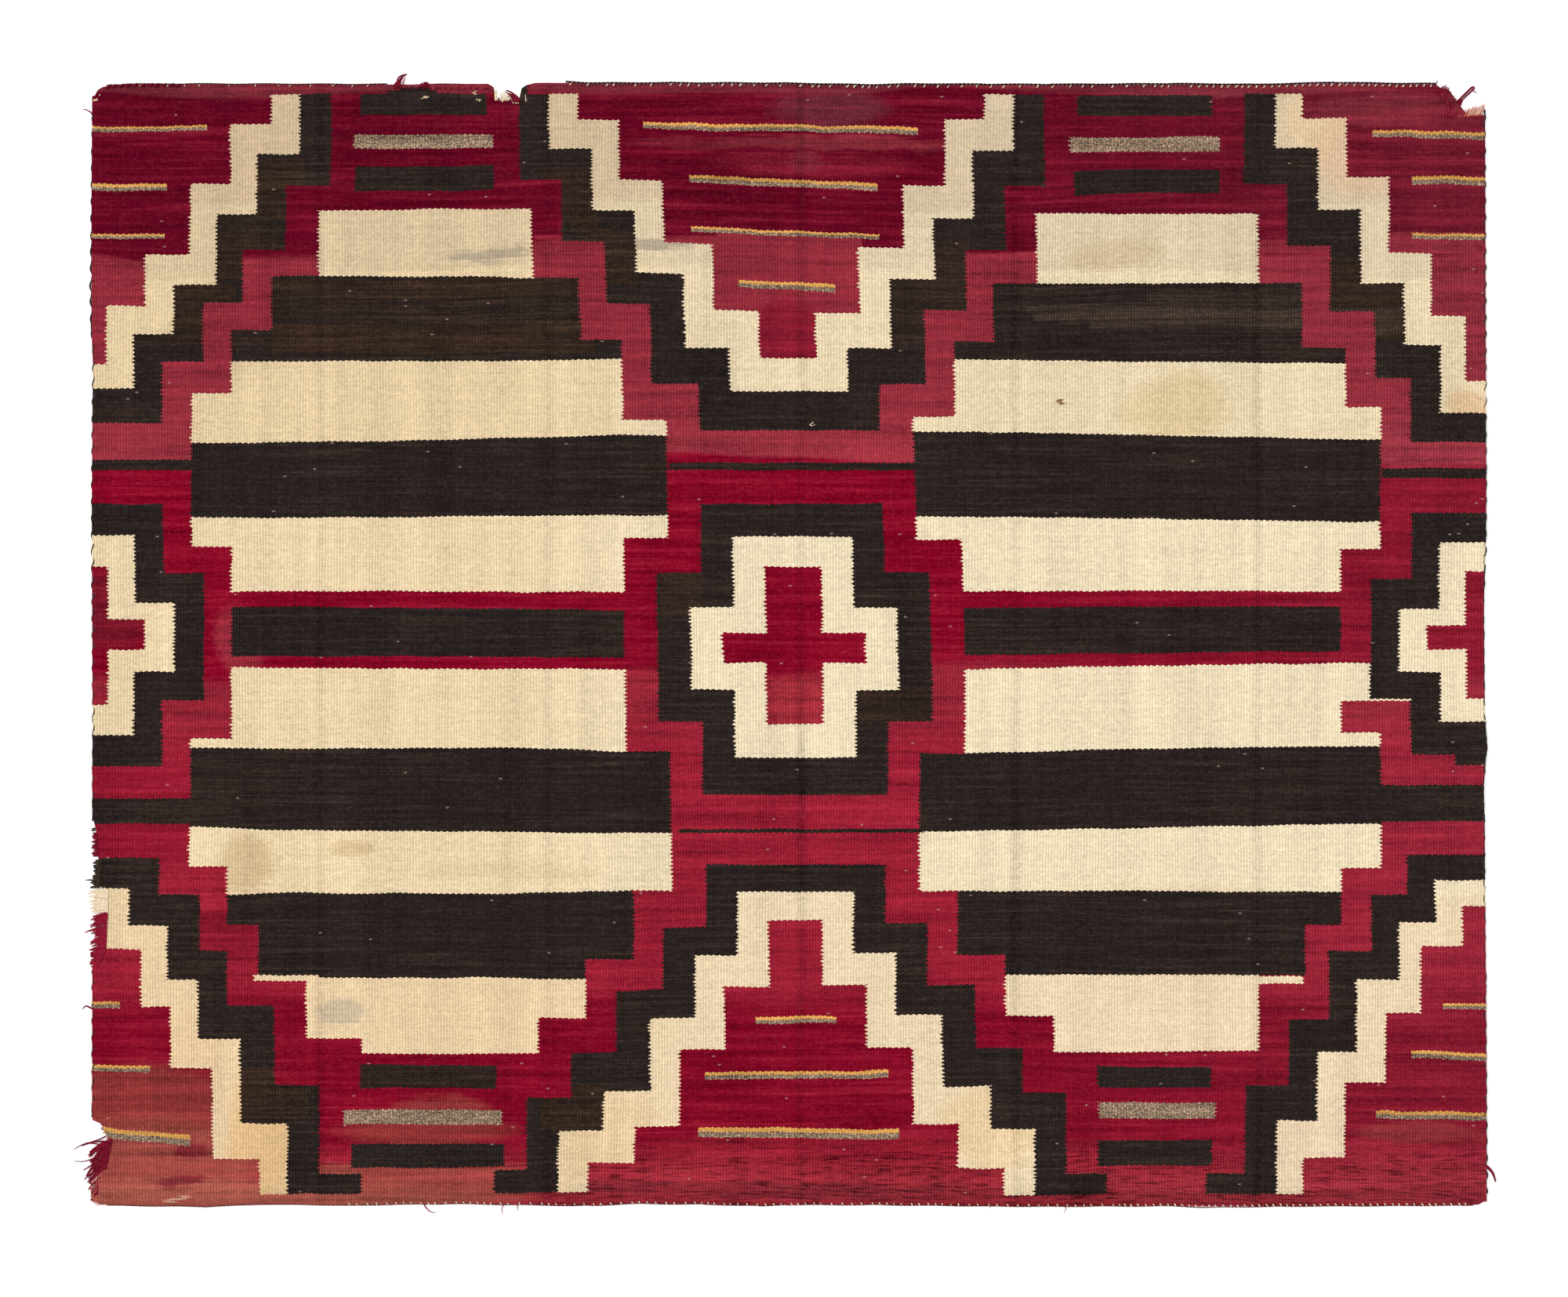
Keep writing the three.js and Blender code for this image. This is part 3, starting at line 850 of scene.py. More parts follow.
# %% Patches: (across, down), half size, colour, strength
RED_PATCHES = [
    ((70, 1330), (130, 42), PALE_TERRACOTTA, 1.0),
    ((70, 1420), (175, 60), TERRACOTTA, 1.0),
    # a faded terracotta strip along the bottom edge, painted a little lighter as well against the
    # shade where the edge slopes down
    ((180, 1462), (340, 22), (0.45, 0.112, 0.08), 1.0),
    ((420, 1440), (160, 26), TERRACOTTA, 0.8),
    ((440, 1352), (60, 20), TERRACOTTA, 0.5),
    ((420, 1376), (110, 20), PALE_TERRACOTTA, 0.9),
    ((60, 960), (150, 75), (0.275, 0.008, 0.026), 0.9),
    ((915, 335), (55, 50), (0.235, 0.009, 0.026), 0.9),
    ((973, 36), (74, 24), (0.155, 0.024, 0.040), 0.8),
    ((929, 104), (24, 12), (0.165, 0.03, 0.044), 0.8),
    ((975, 80), (150, 9), (0.235, 0.033, 0.043), 0.6),
    ((800, 80), (90, 8), (0.20, 0.02, 0.032), 0.5),
    ((940, 108), (120, 15), (0.22, 0.012, 0.027), 0.6),
    ((126, 1401), (26, 9), (0.19, 0.006, 0.024), 0.7),
    ((116, 1441), (32, 7), (0.21, 0.012, 0.03), 0.7),
    ((110, 1464), (15, 3), (0.8, 0.48, 0.34), 0.9),
    ((318, 1424), (30, 9), TERRACOTTA, 0.8),
    ((1720, 36), (130, 22), (0.175, 0.024, 0.033), 0.7),
    ((1792, 42), (20, 16), (0.12, 0.008, 0.018), 0.7),
    ((1740, 1376), (85, 13), (0.30, 0.048, 0.043), 0.6),
    ((925, 812), (48, 30), (0.38, 0.03, 0.044), 0.8),
    ((25, 690), (60, 50), BROWN_RED, 0.6),
    ((870, 1452), (330, 10), (0.21, 0.022, 0.032), 0.7),
    # a paler strip along the bottom edge: partly faded wool, partly painted light against the
    # shade where the edge slopes down
    ((1560, 1462), (260, 10), (0.33, 0.03, 0.042), 0.6),
    ((1740, 480), (110, 26), (0.36, 0.042, 0.064), 0.6),
    ((178, 1128), (60, 40), (0.205, 0.007, 0.02), 0.7),
    ((180, 740), (26, 50), PALE_ROSE, 0.7),
]
WHITE_PATCHES = [
    ((214, 1022), (34, 36), (0.60, 0.42, 0.22), 0.6),
    ((343, 1003), (26, 10), (0.64, 0.47, 0.26), 0.7),
    ((342, 1218), (30, 14), (0.52, 0.43, 0.31), 0.7),
    ((1428, 426), (70, 44), (0.68, 0.51, 0.26), 0.6),
    ((1284, 418), (5, 5), (0.25, 0.14, 0.07), 1.0),
    ((528, 228), (60, 8), (0.40, 0.33, 0.24), 0.8),
    ((767, 217), (52, 6), (0.40, 0.33, 0.24), 0.8),
    ((150, 330), (60, 70), (0.62, 0.48, 0.29), 0.6),
    ((1610, 50), (48, 52), (0.80, 0.60, 0.36), 0.6),
    ((1180, 1370), (50, 50), (0.79, 0.58, 0.33), 0.7),
    ((225, 1390), (48, 95), (0.74, 0.48, 0.24), 0.9),
    ((668, 1383), (70, 60), (0.78, 0.57, 0.33), 0.6),
    ((1595, 1390), (60, 60), (0.78, 0.60, 0.42), 0.7),
    ((140, 1265), (40, 60), (0.80, 0.56, 0.33), 0.4),
    ((1283, 1370), (70, 60), (0.80, 0.60, 0.33), 0.5),
    ((1670, 90), (60, 55), (0.70, 0.45, 0.28), 0.5),
    ((1795, 425), (22, 22), (0.72, 0.47, 0.26), 0.7),
    ((520, 1035), (120, 12), (0.72, 0.56, 0.33), 0.5),
    ((1360, 225), (60, 22), (0.60, 0.45, 0.25), 0.5),
]
# Thin white slivers where a band was worked a few wefts further
WHITE_SLIVERS = [
    (214, 300, 1171, 1178), (1530, 1588, 1172, 1182), (434, 441, 18.5, 21.5),
    (501.5, 504.5, 11, 16), (507, 509, 22, 25), (511, 513, 21.5, 24), (943, 945, 445, 450),
]

# %% Patches and blocks in the colours
PATCH_EDGE = 0.45  # how much of its half size a patch takes to fade out
PATCH_REACH = 1.3  # how many half sizes it can reach from its middle
PATCH_STRAY = 15  # how far its edge can stray


def clamped(value):
    """The same sum, held between nothing and one."""
    value.socket.node.use_clamp = True
    return value


def with_patches(recipe, place, colour, patches, zone):
    """A wool's colour with the patches in a zone laid over it."""
    for (across, down), (half_across, half_down), patch_colour, strength in patches:
        reach = PATCH_REACH * half_down + PATCH_STRAY
        if not in_zone(down - reach, down + reach, zone):
            continue
        scale = (1 / half_across, 1 / half_down, 0)
        shift = (-across / half_across, -down / half_down, 0)
        local = recipe.vector("MULTIPLY_ADD", {0: place, 1: scale, 2: shift})
        distance = recipe.vector("LENGTH", {0: local}, "Value")
        share = clamped((1 + PATCH_EDGE / 2 - distance) / PATCH_EDGE) * strength
        colour = recipe.blend(share, colour, opaque(patch_colour))
    return colour


def block_share(across, down, blocks, zone):
    """How strongly an odd lot shows at a place."""
    total = across * 0
    for left, right, top, bottom, strength in blocks:
        if in_zone(top, bottom, zone):
            share = inside(across, left, right) * inside(down, top, bottom) * strength
            total = total.math("MAXIMUM", share)
    return total


# %% [markdown]
# ## Joins between colours
# Where two colours meet across the rug, their wefts turn back around the same warp in
# small bundles, and the join looks like teeth. Where they meet up the rug, neighbouring
# warps show the change one weft apart, and the join is scalloped. So the chart isn't read
# quite at its place: a zigzag moves the place across, and a wave moves it down.

# %% Where the chart is read
TOOTH_PITCH = 5
TOOTH_DEPTH = 4
TOOTH_COLUMN = 47  # the teeth of joins this far apart differ
SCALLOP = 0.6
STRIPE_SCALLOP = 0.9  # the scallops of the stripes, as a share of the others
UNEQUAL_TEETH = 1.6
BEAD_PITCH = 1.9
DRIFT_SIZE = (60, 45)  # of the soft wandering of all joins
DRIFTS = {"scallop": 4, "teeth": 9, "sideways": 3, "stripe": 3}  # how far each is moved


def reading_places(recipe):
    """The chart's coordinates with the joins' teeth and scallops added, by name."""
    across, down, band = recipe.split(recipe.attribute("chart"))
    warp = recipe.attribute("warp", "Fac")
    drift_place = recipe.place(across / DRIFT_SIZE[0], down / DRIFT_SIZE[1])
    drift = recipe.noise(drift_place, detail=2) - 0.5
    scallop = (warp * math.pi).math("SINE") * SCALLOP + drift * DRIFTS["scallop"]
    tooth_level = down + drift * DRIFTS["teeth"]
    bundle = (tooth_level / TOOTH_PITCH).math("FLOOR")
    column = (across / TOOTH_COLUMN).math("FLOOR")
    chance = recipe.chance(recipe.place(column, bundle))
    tooth = tooth_level.math("PINGPONG", TOOTH_PITCH / 2) / (TOOTH_PITCH / 2) - 0.5
    depth = (chance + 0.5) * TOOTH_DEPTH
    sideways = tooth * depth + (chance - 0.5) * UNEQUAL_TEETH + drift * DRIFTS["sideways"]
    upright = warp * WARP_SPACING
    return {
        "across": upright,
        "down": down,
        "warp": warp,
        "upright": upright + sideways,
        "leaning": across + sideways,
        "level": down + scallop,
        "band": band + scallop,
        "stripe": down + scallop * STRIPE_SCALLOP + drift * DRIFTS["stripe"],
        "drift": drift,
    }


# %% Which wool shows
def column_mix(recipe, left, middle, right, on_left, on_right):
    """The colour that belongs to the left, middle or right column."""
    mixed = recipe.blend(on_left, middle, left)
    return recipe.blend(on_right, mixed, right)


def wool_shares(recipe, read, zone):
    """One for the wool that shows at a place, and nothing for the others."""
    rows = {"black": [], "red": []}
    for wool, ends in BANDS:
        for name, steps in rows.items():
            steps.append((ends[0], 1.0 if wool == name else 0.0))
    bands = look_up(recipe, read["band"], rows.values(), zone)
    black, red, _ = recipe.split(bands)

    line = read["leaning"].math("PINGPONG", LINE_SPACING / 2)
    on_left = read["across"] < LINE_SPACING / 2
    on_right = read["across"] > LINE_SPACING * 1.5
    sides = ("left", "middle", "right")
    layers = [look_up(recipe, read["level"], figure_layers(name), zone) for name in sides]
    reaches = column_mix(recipe, *layers, on_left, on_right)
    core, white_frame, outline = recipe.split(reaches)
    grounds = [FIGURES[name]["ground"] for name in sides]
    grounds = look_up(recipe, read["band"], grounds, zone)
    left, middle, right = recipe.split(grounds)
    ground = left * on_left + middle * (1 - on_left - on_right) + right * on_right

    thin = bar_share(read["leaning"], read["level"], THIN_LINES, zone)
    bars = bar_share(read["upright"], read["level"], BLACK_BARS, zone)
    slivers = bar_share(read["upright"], read["level"], WHITE_SLIVERS, zone)
    on_ground = (line < ground) * (1 - thin)
    on_outline = line < outline
    on_frame = line < white_frame
    black = black * (1 - on_ground)
    black = black.math("MAXIMUM", thin).math("MAXIMUM", on_outline) * (1 - on_frame)
    black = black.math("MAXIMUM", bars) * (1 - slivers)
    red = red.math("MAXIMUM", on_ground) * (1 - thin) * (1 - on_outline)
    red = red.math("MAXIMUM", line < core) * (1 - bars) * (1 - slivers)
    grey = bar_share(read["upright"], read["level"], GREY_BARS, zone)
    yellow, stripe_grey = stripe_shares(read["across"], read["stripe"], zone)
    return {
        "black": black,
        "red": red,
        "grey": grey.math("MAXIMUM", stripe_grey),
        "stripe": stripe_grey,
        "yellow": yellow,
    }


# %% [markdown]
# ## The look of the weave
# Seen close, every bit of weft that crosses a warp is a bead, and no two are the same. Some
# ribs stand higher, a stretch of yarn is thicker or paler, and pale fluff lies on it, with
# its sheen painted into the colour. So the colour is multiplied by a tone that varies by
# bead, in short and long stretches of weft and in soft mottles. The tone also holds painted
# shade in the valleys between the ribs and painted light on their crowns, painted shade
# along the creases with painted light beside them, and soft upright bands of painted light
# and shade where the cloth was folded. Near the lower end the wefts were beaten down less,
# and thin dark gaps show between them, darkened with painted shade. Dyed and dark wools
# show all of it more than white wool does.

# %% Tone and relief
SOFT_NOISES = {  # size across and down, detail, roughness
    "mottle": (9, 4, 2, 0.7),
    "streak": (190, 4.5, 3, 0.75),
    "spell": (230, 11, 2, 0.5),
    # soft upright bands of painted light and shade where the cloth was folded
    "painted_fold_bands": (40, 600, 3, 0.6),
}
CREASE_STRAY = 8
# painted light beside a crease, then painted shade along it
CREASE_LIGHT_AND_SHADE = [(34, 0.05), (10, -0.16)]  # how far each reaches, and its strength
BEAD_HEIGHTS = {"chance": 0.5, "bulge": 1.8, "mottle": 0.6}  # the parts of the bump
LOOSE_SIZE = (32, 2.4)
LOOSE_FROM = (520, 1375)  # across and down
LOOSE_FADE = (120, 35)
LOOSE_LEAST = 0.52  # the share of the noise under which no gap shows
LOOSE_SHARPNESS = 9


def crease_shade(across, mottle):
    """Painted shade along the creases, below zero, and a little painted light on both sides of
    them, above it.
    """
    shade = across * 0
    for middle, height in CREASES:
        distance = (across + mottle * CREASE_STRAY - middle).math("ABSOLUTE")
        for reach, strength in CREASE_LIGHT_AND_SHADE:
            shade = shade + clamped(1 - distance / reach) * (strength * height)
    return shade


def shaded_weft_gaps(recipe, across, down):
    """Thin dark gaps between the wefts near the lower end, where they were beaten down less.
    Their darkness is painted shade, with the warps behind.
    """
    noise = recipe.noise(recipe.place(across / LOOSE_SIZE[0], down / LOOSE_SIZE[1]), detail=2)
    gaps = clamped((noise - LOOSE_LEAST) * LOOSE_SHARPNESS)
    past_left = clamped((across - LOOSE_FROM[0]) / LOOSE_FADE[0])
    near_end = clamped((down - LOOSE_FROM[1]) / LOOSE_FADE[1])
    return gaps * near_end * past_left


def weave_relief(recipe, read):
    """The parts of the tone, and the height for the bump, by name."""
    across, down, warp = read["across"], read["down"], read["warp"]
    rib = warp.math("FLOOR")
    bead_row = down / BEAD_PITCH + rib.math("PINGPONG", 1) * 0.5
    chance = recipe.chance(recipe.place(rib, bead_row.math("FLOOR")))
    bulge = bead_row.math("FRACT") - 0.5
    relief = {"bead": chance - 0.5}
    for name, (wide, high, detail, roughness) in SOFT_NOISES.items():
        vector = recipe.place(across / wide, down / high)
        relief[name] = recipe.noise(vector, detail, roughness) - 0.5
    # painted shade in the valleys between the ribs and painted light on their crowns
    relief["valley"] = warp.math("PINGPONG", 0.5) - 0.25
    # painted shade along the creases, with painted light beside them
    relief["crease"] = crease_shade(across, relief["mottle"])
    relief["loose"] = shaded_weft_gaps(recipe, across, down)
    height = chance * BEAD_HEIGHTS["chance"] - bulge * bulge * BEAD_HEIGHTS["bulge"]
    relief["height"] = height + relief["mottle"] * BEAD_HEIGHTS["mottle"]
    return relief


# %% The colour of each wool
LOT_STRAY = {"red": 50, "white": 30}  # how far the end of a lot strays
BLOCK_STRAY = {"red": 3, "black": 4}
PALER = {"streak": 0.6, "spell": 0.8}  # how strongly each pales the red
PALER_SLOWLY = 0.3
BROWN_EVEN = 0.9  # the share of its strength that a block has everywhere
BROWN_STREAKS = 2.5  # how strongly the streaks change it
BROWN_ANYWHERE = {"streak": 0.8, "slow": 0.3}  # how much brown shows outside the blocks
RED_TO_RIGHT = (1150, 2800)  # from here across, and over this length
WHITE_TO_RIGHT = (550, 300)


def red_wool_colour(recipe, read, weave, slow, place, zone):
    crimson = lots(recipe, read["down"] + slow * LOT_STRAY["red"], RED_LOTS)
    down = read["down"] + read["drift"] * BLOCK_STRAY["red"]
    rose = block_share(read["across"], down, ROSE_BLOCKS, zone)
    crimson = recipe.blend(rose, crimson, opaque(ROSE))
    crimson = with_patches(recipe, place, crimson, RED_PATCHES, zone)
    paler = slow * PALER_SLOWLY
    for name, strength in PALER.items():
        paler = paler + weave[name] * strength
    crimson = recipe.blend(clamped(paler), crimson, opaque(BRIGHT_ROSE))
    to_right = clamped((read["across"] - RED_TO_RIGHT[0]) / RED_TO_RIGHT[1])
    return recipe.blend(to_right, crimson, opaque(RIGHT_ROSE))


def white_wool_colour(recipe, read, slow, place, zone):
    fleece = lots(recipe, read["down"] + slow * LOT_STRAY["white"], WHITE_LOTS)
    to_right = clamped((read["across"] - WHITE_TO_RIGHT[0]) / WHITE_TO_RIGHT[1])
    fleece = recipe.blend(to_right, fleece, opaque(RIGHT_WHITE), "MULTIPLY")
    return with_patches(recipe, place, fleece, WHITE_PATCHES, zone)


def black_wool_colour(recipe, read, weave, slow, zone):
    across, down = read["across"], read["down"] + read["drift"] * BLOCK_STRAY["black"]
    streak = weave["streak"]
    dark = opaque(BLACK)
    for blocks, colour in ((BROWN_BLOCKS, BROWN_BLACK), (GREY_BROWN_BLOCKS, GREY_BROWN)):
        share = block_share(across, down, blocks, zone) * (BROWN_EVEN + streak * BROWN_STREAKS)
        anywhere = streak * BROWN_ANYWHERE["streak"] + slow * BROWN_ANYWHERE["slow"]
        share = share + anywhere.math("MAXIMUM", 0)
        dark = recipe.blend(clamped(share), dark, opaque(colour))
    return dark


# %% The woven material
SLOW_SIZE = (330, 160)
FIBRE_SIZE = (2.4, 1.8)
PATCH_WANDER = {"slow": 90, "mottle": 18, "drift": 18, "streak": 22}
HEATHER = {"bead": 0.35, "fibres": 2.2, "even": 0.42, "stripe": -0.08}
TONES = {"bead": 0.2, "mottle": 0.28, "painted_fold_bands": 0.3, "crease": 1}  # on every wool
# how strongly painted shade darkens the rib valleys and painted light brightens the crowns
PAINTED_RIB_SHADING = 0.36
PAINTED_RIB_SHADING_DARK = 0.14  # added on red and on black
STREAK_TONE = 0.27
STREAK_TONE_RED = 0.4
STREAK_TONE_BLACK = 0.65
UNEVEN = {"red": 0.3, "black": 0.8}  # how much more uneven these wools are
SPELL_TONE = 0.9
# how much painted shade darkens the gaps between the loose wefts
LOOSE_GAP_SHADE = 0.5
DARKEST = 0.2
FLUFF_SHEEN_SHARE = 0.035
SPECK_CHANCE = 0.4994  # beads past this are pale specks
SPECK_SHARE = 0.35
BUMP_STRENGTH = 0.8
BUMP_HEIGHT = 0.6 * MM
CLOTH_ROUGHNESS = 0.9


def weave_tone(weave, shares):
    """What the colour is multiplied by."""
    red, black = shares["red"], shares["black"]
    fine = weave["valley"] * (PAINTED_RIB_SHADING + (red + black) * PAINTED_RIB_SHADING_DARK)
    for name, strength in TONES.items():
        fine = fine + weave[name] * strength
    uneven = 1 + red * UNEVEN["red"] + black * UNEVEN["black"]
    along = weave["streak"] * (STREAK_TONE + red * STREAK_TONE_RED + black * STREAK_TONE_BLACK)
    along = along + (weave["spell"] * SPELL_TONE - weave["loose"] * LOOSE_GAP_SHADE) * red
    return (1 + fine * uneven + along).math("MAXIMUM", DARKEST)


def woven_pattern(zone):
    """The material of the cloth in one zone."""
    material, recipe, shader = new_material(f"woven_wool_{zone}")
    read = reading_places(recipe)
    shares = wool_shares(recipe, read, zone)
    weave = weave_relief(recipe, read)
    bead, mottle, streak = weave["bead"], weave["mottle"], weave["streak"]
    slow_place = recipe.place(read["across"] / SLOW_SIZE[0], read["down"] / SLOW_SIZE[1])
    slow = recipe.noise(slow_place, detail=1) - 0.5
    across = read["across"] + slow * PATCH_WANDER["slow"] + mottle * PATCH_WANDER["mottle"]
    wave = read["drift"] * PATCH_WANDER["drift"] + streak * PATCH_WANDER["streak"]
    place = recipe.place(across, read["down"] + wave)

    crimson = red_wool_colour(recipe, read, weave, slow, place, zone)
    fleece = white_wool_colour(recipe, read, slow, place, zone)
    dark = black_wool_colour(recipe, read, weave, slow, zone)
    fibre_place = recipe.place(read["across"] / FIBRE_SIZE[0], read["down"] / FIBRE_SIZE[1])
    fibres = recipe.noise(fibre_place, detail=1) - 0.5
    speckle = bead * HEATHER["bead"] + fibres * HEATHER["fibres"] + HEATHER["even"]
    speckle = speckle + shares["stripe"] * HEATHER["stripe"]
    heather = recipe.blend(speckle, opaque(GREY_DARK), opaque(GREY_PALE))
    colour = recipe.blend(shares["red"], fleece, crimson)
    colour = recipe.blend(shares["black"], colour, dark)
    colour = recipe.blend(shares["grey"], colour, heather)
    colour = recipe.blend(shares["yellow"], colour, opaque(YELLOW))

    tone = weave_tone(weave, shares)
    colour = recipe.blend(1.0, colour, recipe.place(tone, tone, tone), "MULTIPLY")
    # pale fluff and its painted sheen; the specks are real pale fibres
    fluff_and_sheen = clamped((bead * 0.5 + mottle + streak) * FLUFF_SHEEN_SHARE)
    speck = (bead > SPECK_CHANCE) * SPECK_SHARE
    colour = recipe.blend(fluff_and_sheen.math("MAXIMUM", speck), colour, opaque(FLUFF_AND_SHEEN))
    dull_wool(recipe, shader, colour, CLOTH_ROUGHNESS)
    add_bump(recipe, shader, weave["height"], BUMP_STRENGTH, BUMP_HEIGHT)
    print(material.name, "has", len(recipe.tree.nodes), "nodes")
    return material


def dress_cloth(mesh):
    """Gives each face the material of its zone."""
    for zone in ZONES:
        mesh.materials.append(woven_pattern(zone))
    ends = [end for _, end in ZONES.values()]
    for face in mesh.polygons:
        down = (RECTANGLE_TOP - face.center.y) / MM
        face.material_index = min(bisect.bisect_right(ends, down), len(ends) - 1)


dress_cloth(cloth_mesh)
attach(rug, "root")
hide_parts("rug_cloth")

# %% [markdown]
# ## Cords along the edges
# An edge cord is two plies twisted round each other, so it shows as a row of slanting
# bumps. Geometry Nodes lay such a cord along any path: the path is made a smooth curve,
# and for each ply it is moved round the path as a helix and given a round section. The
# twist and the size of each ply are named inputs, so one tree serves every cord: twined
# along the top, fine where the cord is nearly worn away, and loose along the selvages.

# %% Places along an edge
SIDE_PLACES = {
    "top": lambda along, inset: (along, inset),
    "right": lambda along, inset: (RUG_LENGTH - inset, along),
    "bottom": lambda along, inset: (along, RUG_WIDTH - inset),
    "left": lambda along, inset: (inset, along),
}
OUTWARDS = {"top": (0, -1), "right": (1, 0), "bottom": (0, 1), "left": (-1, 0)}
NEAR = 0.5


def edge_place(side, along, out=0.0):
    """A place beside the cloth's edge, across and down, and the direction away from it."""
    rows = EDGES[side]
    x, y = SIDE_PLACES[side](along, between(rows, along))
    back = SIDE_PLACES[side](along - NEAR, between(rows, along - NEAR))
    ahead = SIDE_PLACES[side](along + NEAR, between(rows, along + NEAR))
    run = (ahead[0] - back[0], ahead[1] - back[1])
    length = math.hypot(*run)
    normal = (run[1] / length, -run[0] / length)
    if normal[0] * OUTWARDS[side][0] + normal[1] * OUTWARDS[side][1] < 0:
        normal = (-normal[0], -normal[1])
    return (x + normal[0] * out, y + normal[1] * out), normal


def edge_path(side, start, end, out, height):
    """Points in metres along an edge, at the steps of its table."""
    places = [start] + [row[0] for row in EDGES[side] if start + 1 < row[0] < end - 1] + [end]
    path = []
    for along in places:
        (across, down), _ = edge_place(side, along, out)
        path.append(in_frame(across, down, height))
    return path


# %% Paths for Geometry Nodes
def path_object(name, paths, **attributes):
    """An object of bare edges: one line of points for each path, with a number on each."""
    points, edges, numbers = [], [], {key: [] for key in attributes}
    for k, path in enumerate(paths):
        first = len(points)
        points += path
        edges += [(first + j, first + j + 1) for j in range(len(path) - 1)]
        for key, values in attributes.items():
            numbers[key] += [values[k]] * len(path)
    mesh = bpy.data.meshes.new(name)
    mesh.from_pydata(points, edges, [])
    for key, values in numbers.items():
        mesh.attributes.new(key, "FLOAT", "POINT").data.foreach_set("value", values)
    lines = bpy.data.objects.new(name, mesh)
    bpy.context.collection.objects.link(lines)
    return lines


def laid_by_nodes(lines, tree, inputs):
    """The plain mesh that a Geometry Nodes tree makes of some lines."""
    modifier = lines.modifiers.new("yarn", "NODES")
    modifier.node_group = tree
    for item in tree.interface.items_tree:
        if item.in_out == "INPUT" and item.name in inputs:
            modifier[item.identifier] = inputs[item.name]
    evaluated = lines.evaluated_get(bpy.context.evaluated_depsgraph_get())
    mesh = bpy.data.meshes.new_from_object(evaluated)
    lines.modifiers.remove(modifier)
    mesh.name = lines.name
    lines.data = mesh
    triangles = sum(len(face.vertices) - 2 for face in mesh.polygons)
    print(f"{lines.name}: {triangles} triangles")
    return lines


def new_tree(name, inputs):
    """A Geometry Nodes tree with named inputs, and a Recipe to fill it."""
    tree = bpy.data.node_groups.new(name, "GeometryNodeTree")
    interface = tree.interface
    interface.new_socket("Geometry", in_out="OUTPUT", socket_type="NodeSocketGeometry")
    interface.new_socket("Geometry", in_out="INPUT", socket_type="NodeSocketGeometry")
    for input_name, (kind, value) in inputs.items():
        socket = interface.new_socket(input_name, in_out="INPUT", socket_type=kind)
        if value is not None:
            socket.default_value = value
    given = tree.nodes.new("NodeGroupInput")
    values = {socket.name: Value(socket) for socket in given.outputs if socket.name}
    return tree, Recipe(tree), values


def finish_tree(recipe, geometry, materials):
    """Ends a tree with Realize Instances, smooth shading and a material for each wool."""
    geometry = recipe.node("GeometryNodeRealizeInstances", {}, {"Geometry": geometry})
    geometry = recipe.node("GeometryNodeSetShadeSmooth", {}, {"Geometry": geometry})
    for number, material in enumerate(materials):
        sockets = {"Geometry": geometry, "Material": material}
        if number:
            wool = recipe.node("GeometryNodeInputNamedAttribute", {}, {"Name": "wool"})
            sockets["Selection"] = wool.math("COMPARE", float(number), 0.4)
        geometry = recipe.node("GeometryNodeSetMaterial", {}, sockets)
    output = recipe.tree.nodes.new("NodeGroupOutput")
    connect(recipe.tree, output.inputs["Geometry"], geometry)


# %% The tree that twists two plies
YARN_SIDES = 6


def twisted_cord_tree():
    inputs = {
        "First radius": ("NodeSocketFloat", 0.8 * MM),
        "Second radius": ("NodeSocketFloat", 0.8 * MM),
        "Ply distance": ("NodeSocketFloat", 0.7 * MM),
        "Twist length": ("NodeSocketFloat", 11 * MM),
        "Step": ("NodeSocketFloat", 1.7 * MM),
        "Material": ("NodeSocketMaterial", None),
    }
    tree, recipe, given = new_tree("twisted_cord", inputs)
    curve = recipe.node("GeometryNodeMeshToCurve", {}, {"Mesh": given["Geometry"]})
    settings = {"spline_type": "CATMULL_ROM"}
    curve = recipe.node("GeometryNodeCurveSplineType", settings, {"Curve": curve})
    sockets = {"Curve": curve, "Length": given["Step"]}
    curve = recipe.node("GeometryNodeResampleCurve", {"mode": "LENGTH"}, sockets)
    curve = recipe.node("GeometryNodeSetCurveNormal", {"mode": "Z_UP"}, {"Curve": curve})
    length = recipe.node("GeometryNodeSplineParameter", {}, {}, "Length")
    normal = recipe.node("GeometryNodeInputNormal", {}, {})
    tangent = recipe.node("GeometryNodeInputTangent", {}, {})
    side = recipe.vector("CROSS_PRODUCT", {0: tangent, 1: normal})
    join = tree.nodes.new("GeometryNodeJoinGeometry")
    for ply, radius in enumerate(("First radius", "Second radius")):
        sockets = {"Resolution": YARN_SIDES, "Radius": given[radius]}
        section = recipe.node("GeometryNodeCurvePrimitiveCircle", {}, sockets)
        turn = length / given["Twist length"] * (2 * math.pi) + ply * math.pi
        offsets = []
        for axis, wave in ((normal, "COSINE"), (side, "SINE")):
            reach = turn.math(wave) * given["Ply distance"]
            offsets.append(recipe.vector("SCALE", {0: axis, "Scale": reach}))
        offset = recipe.vector("ADD", {0: offsets[0], 1: offsets[1]})
        sockets = {"Geometry": curve, "Offset": offset}
        helix = recipe.node("GeometryNodeSetPosition", {}, sockets)
        sockets = {"Curve": helix, "Profile Curve": section, "Fill Caps": True}
        yarn = recipe.node("GeometryNodeCurveToMesh", {}, sockets)
        tree.links.new(yarn.socket, join.inputs[0])
    finish_tree(recipe, Value(join.outputs[0]), [given["Material"]])
    return tree


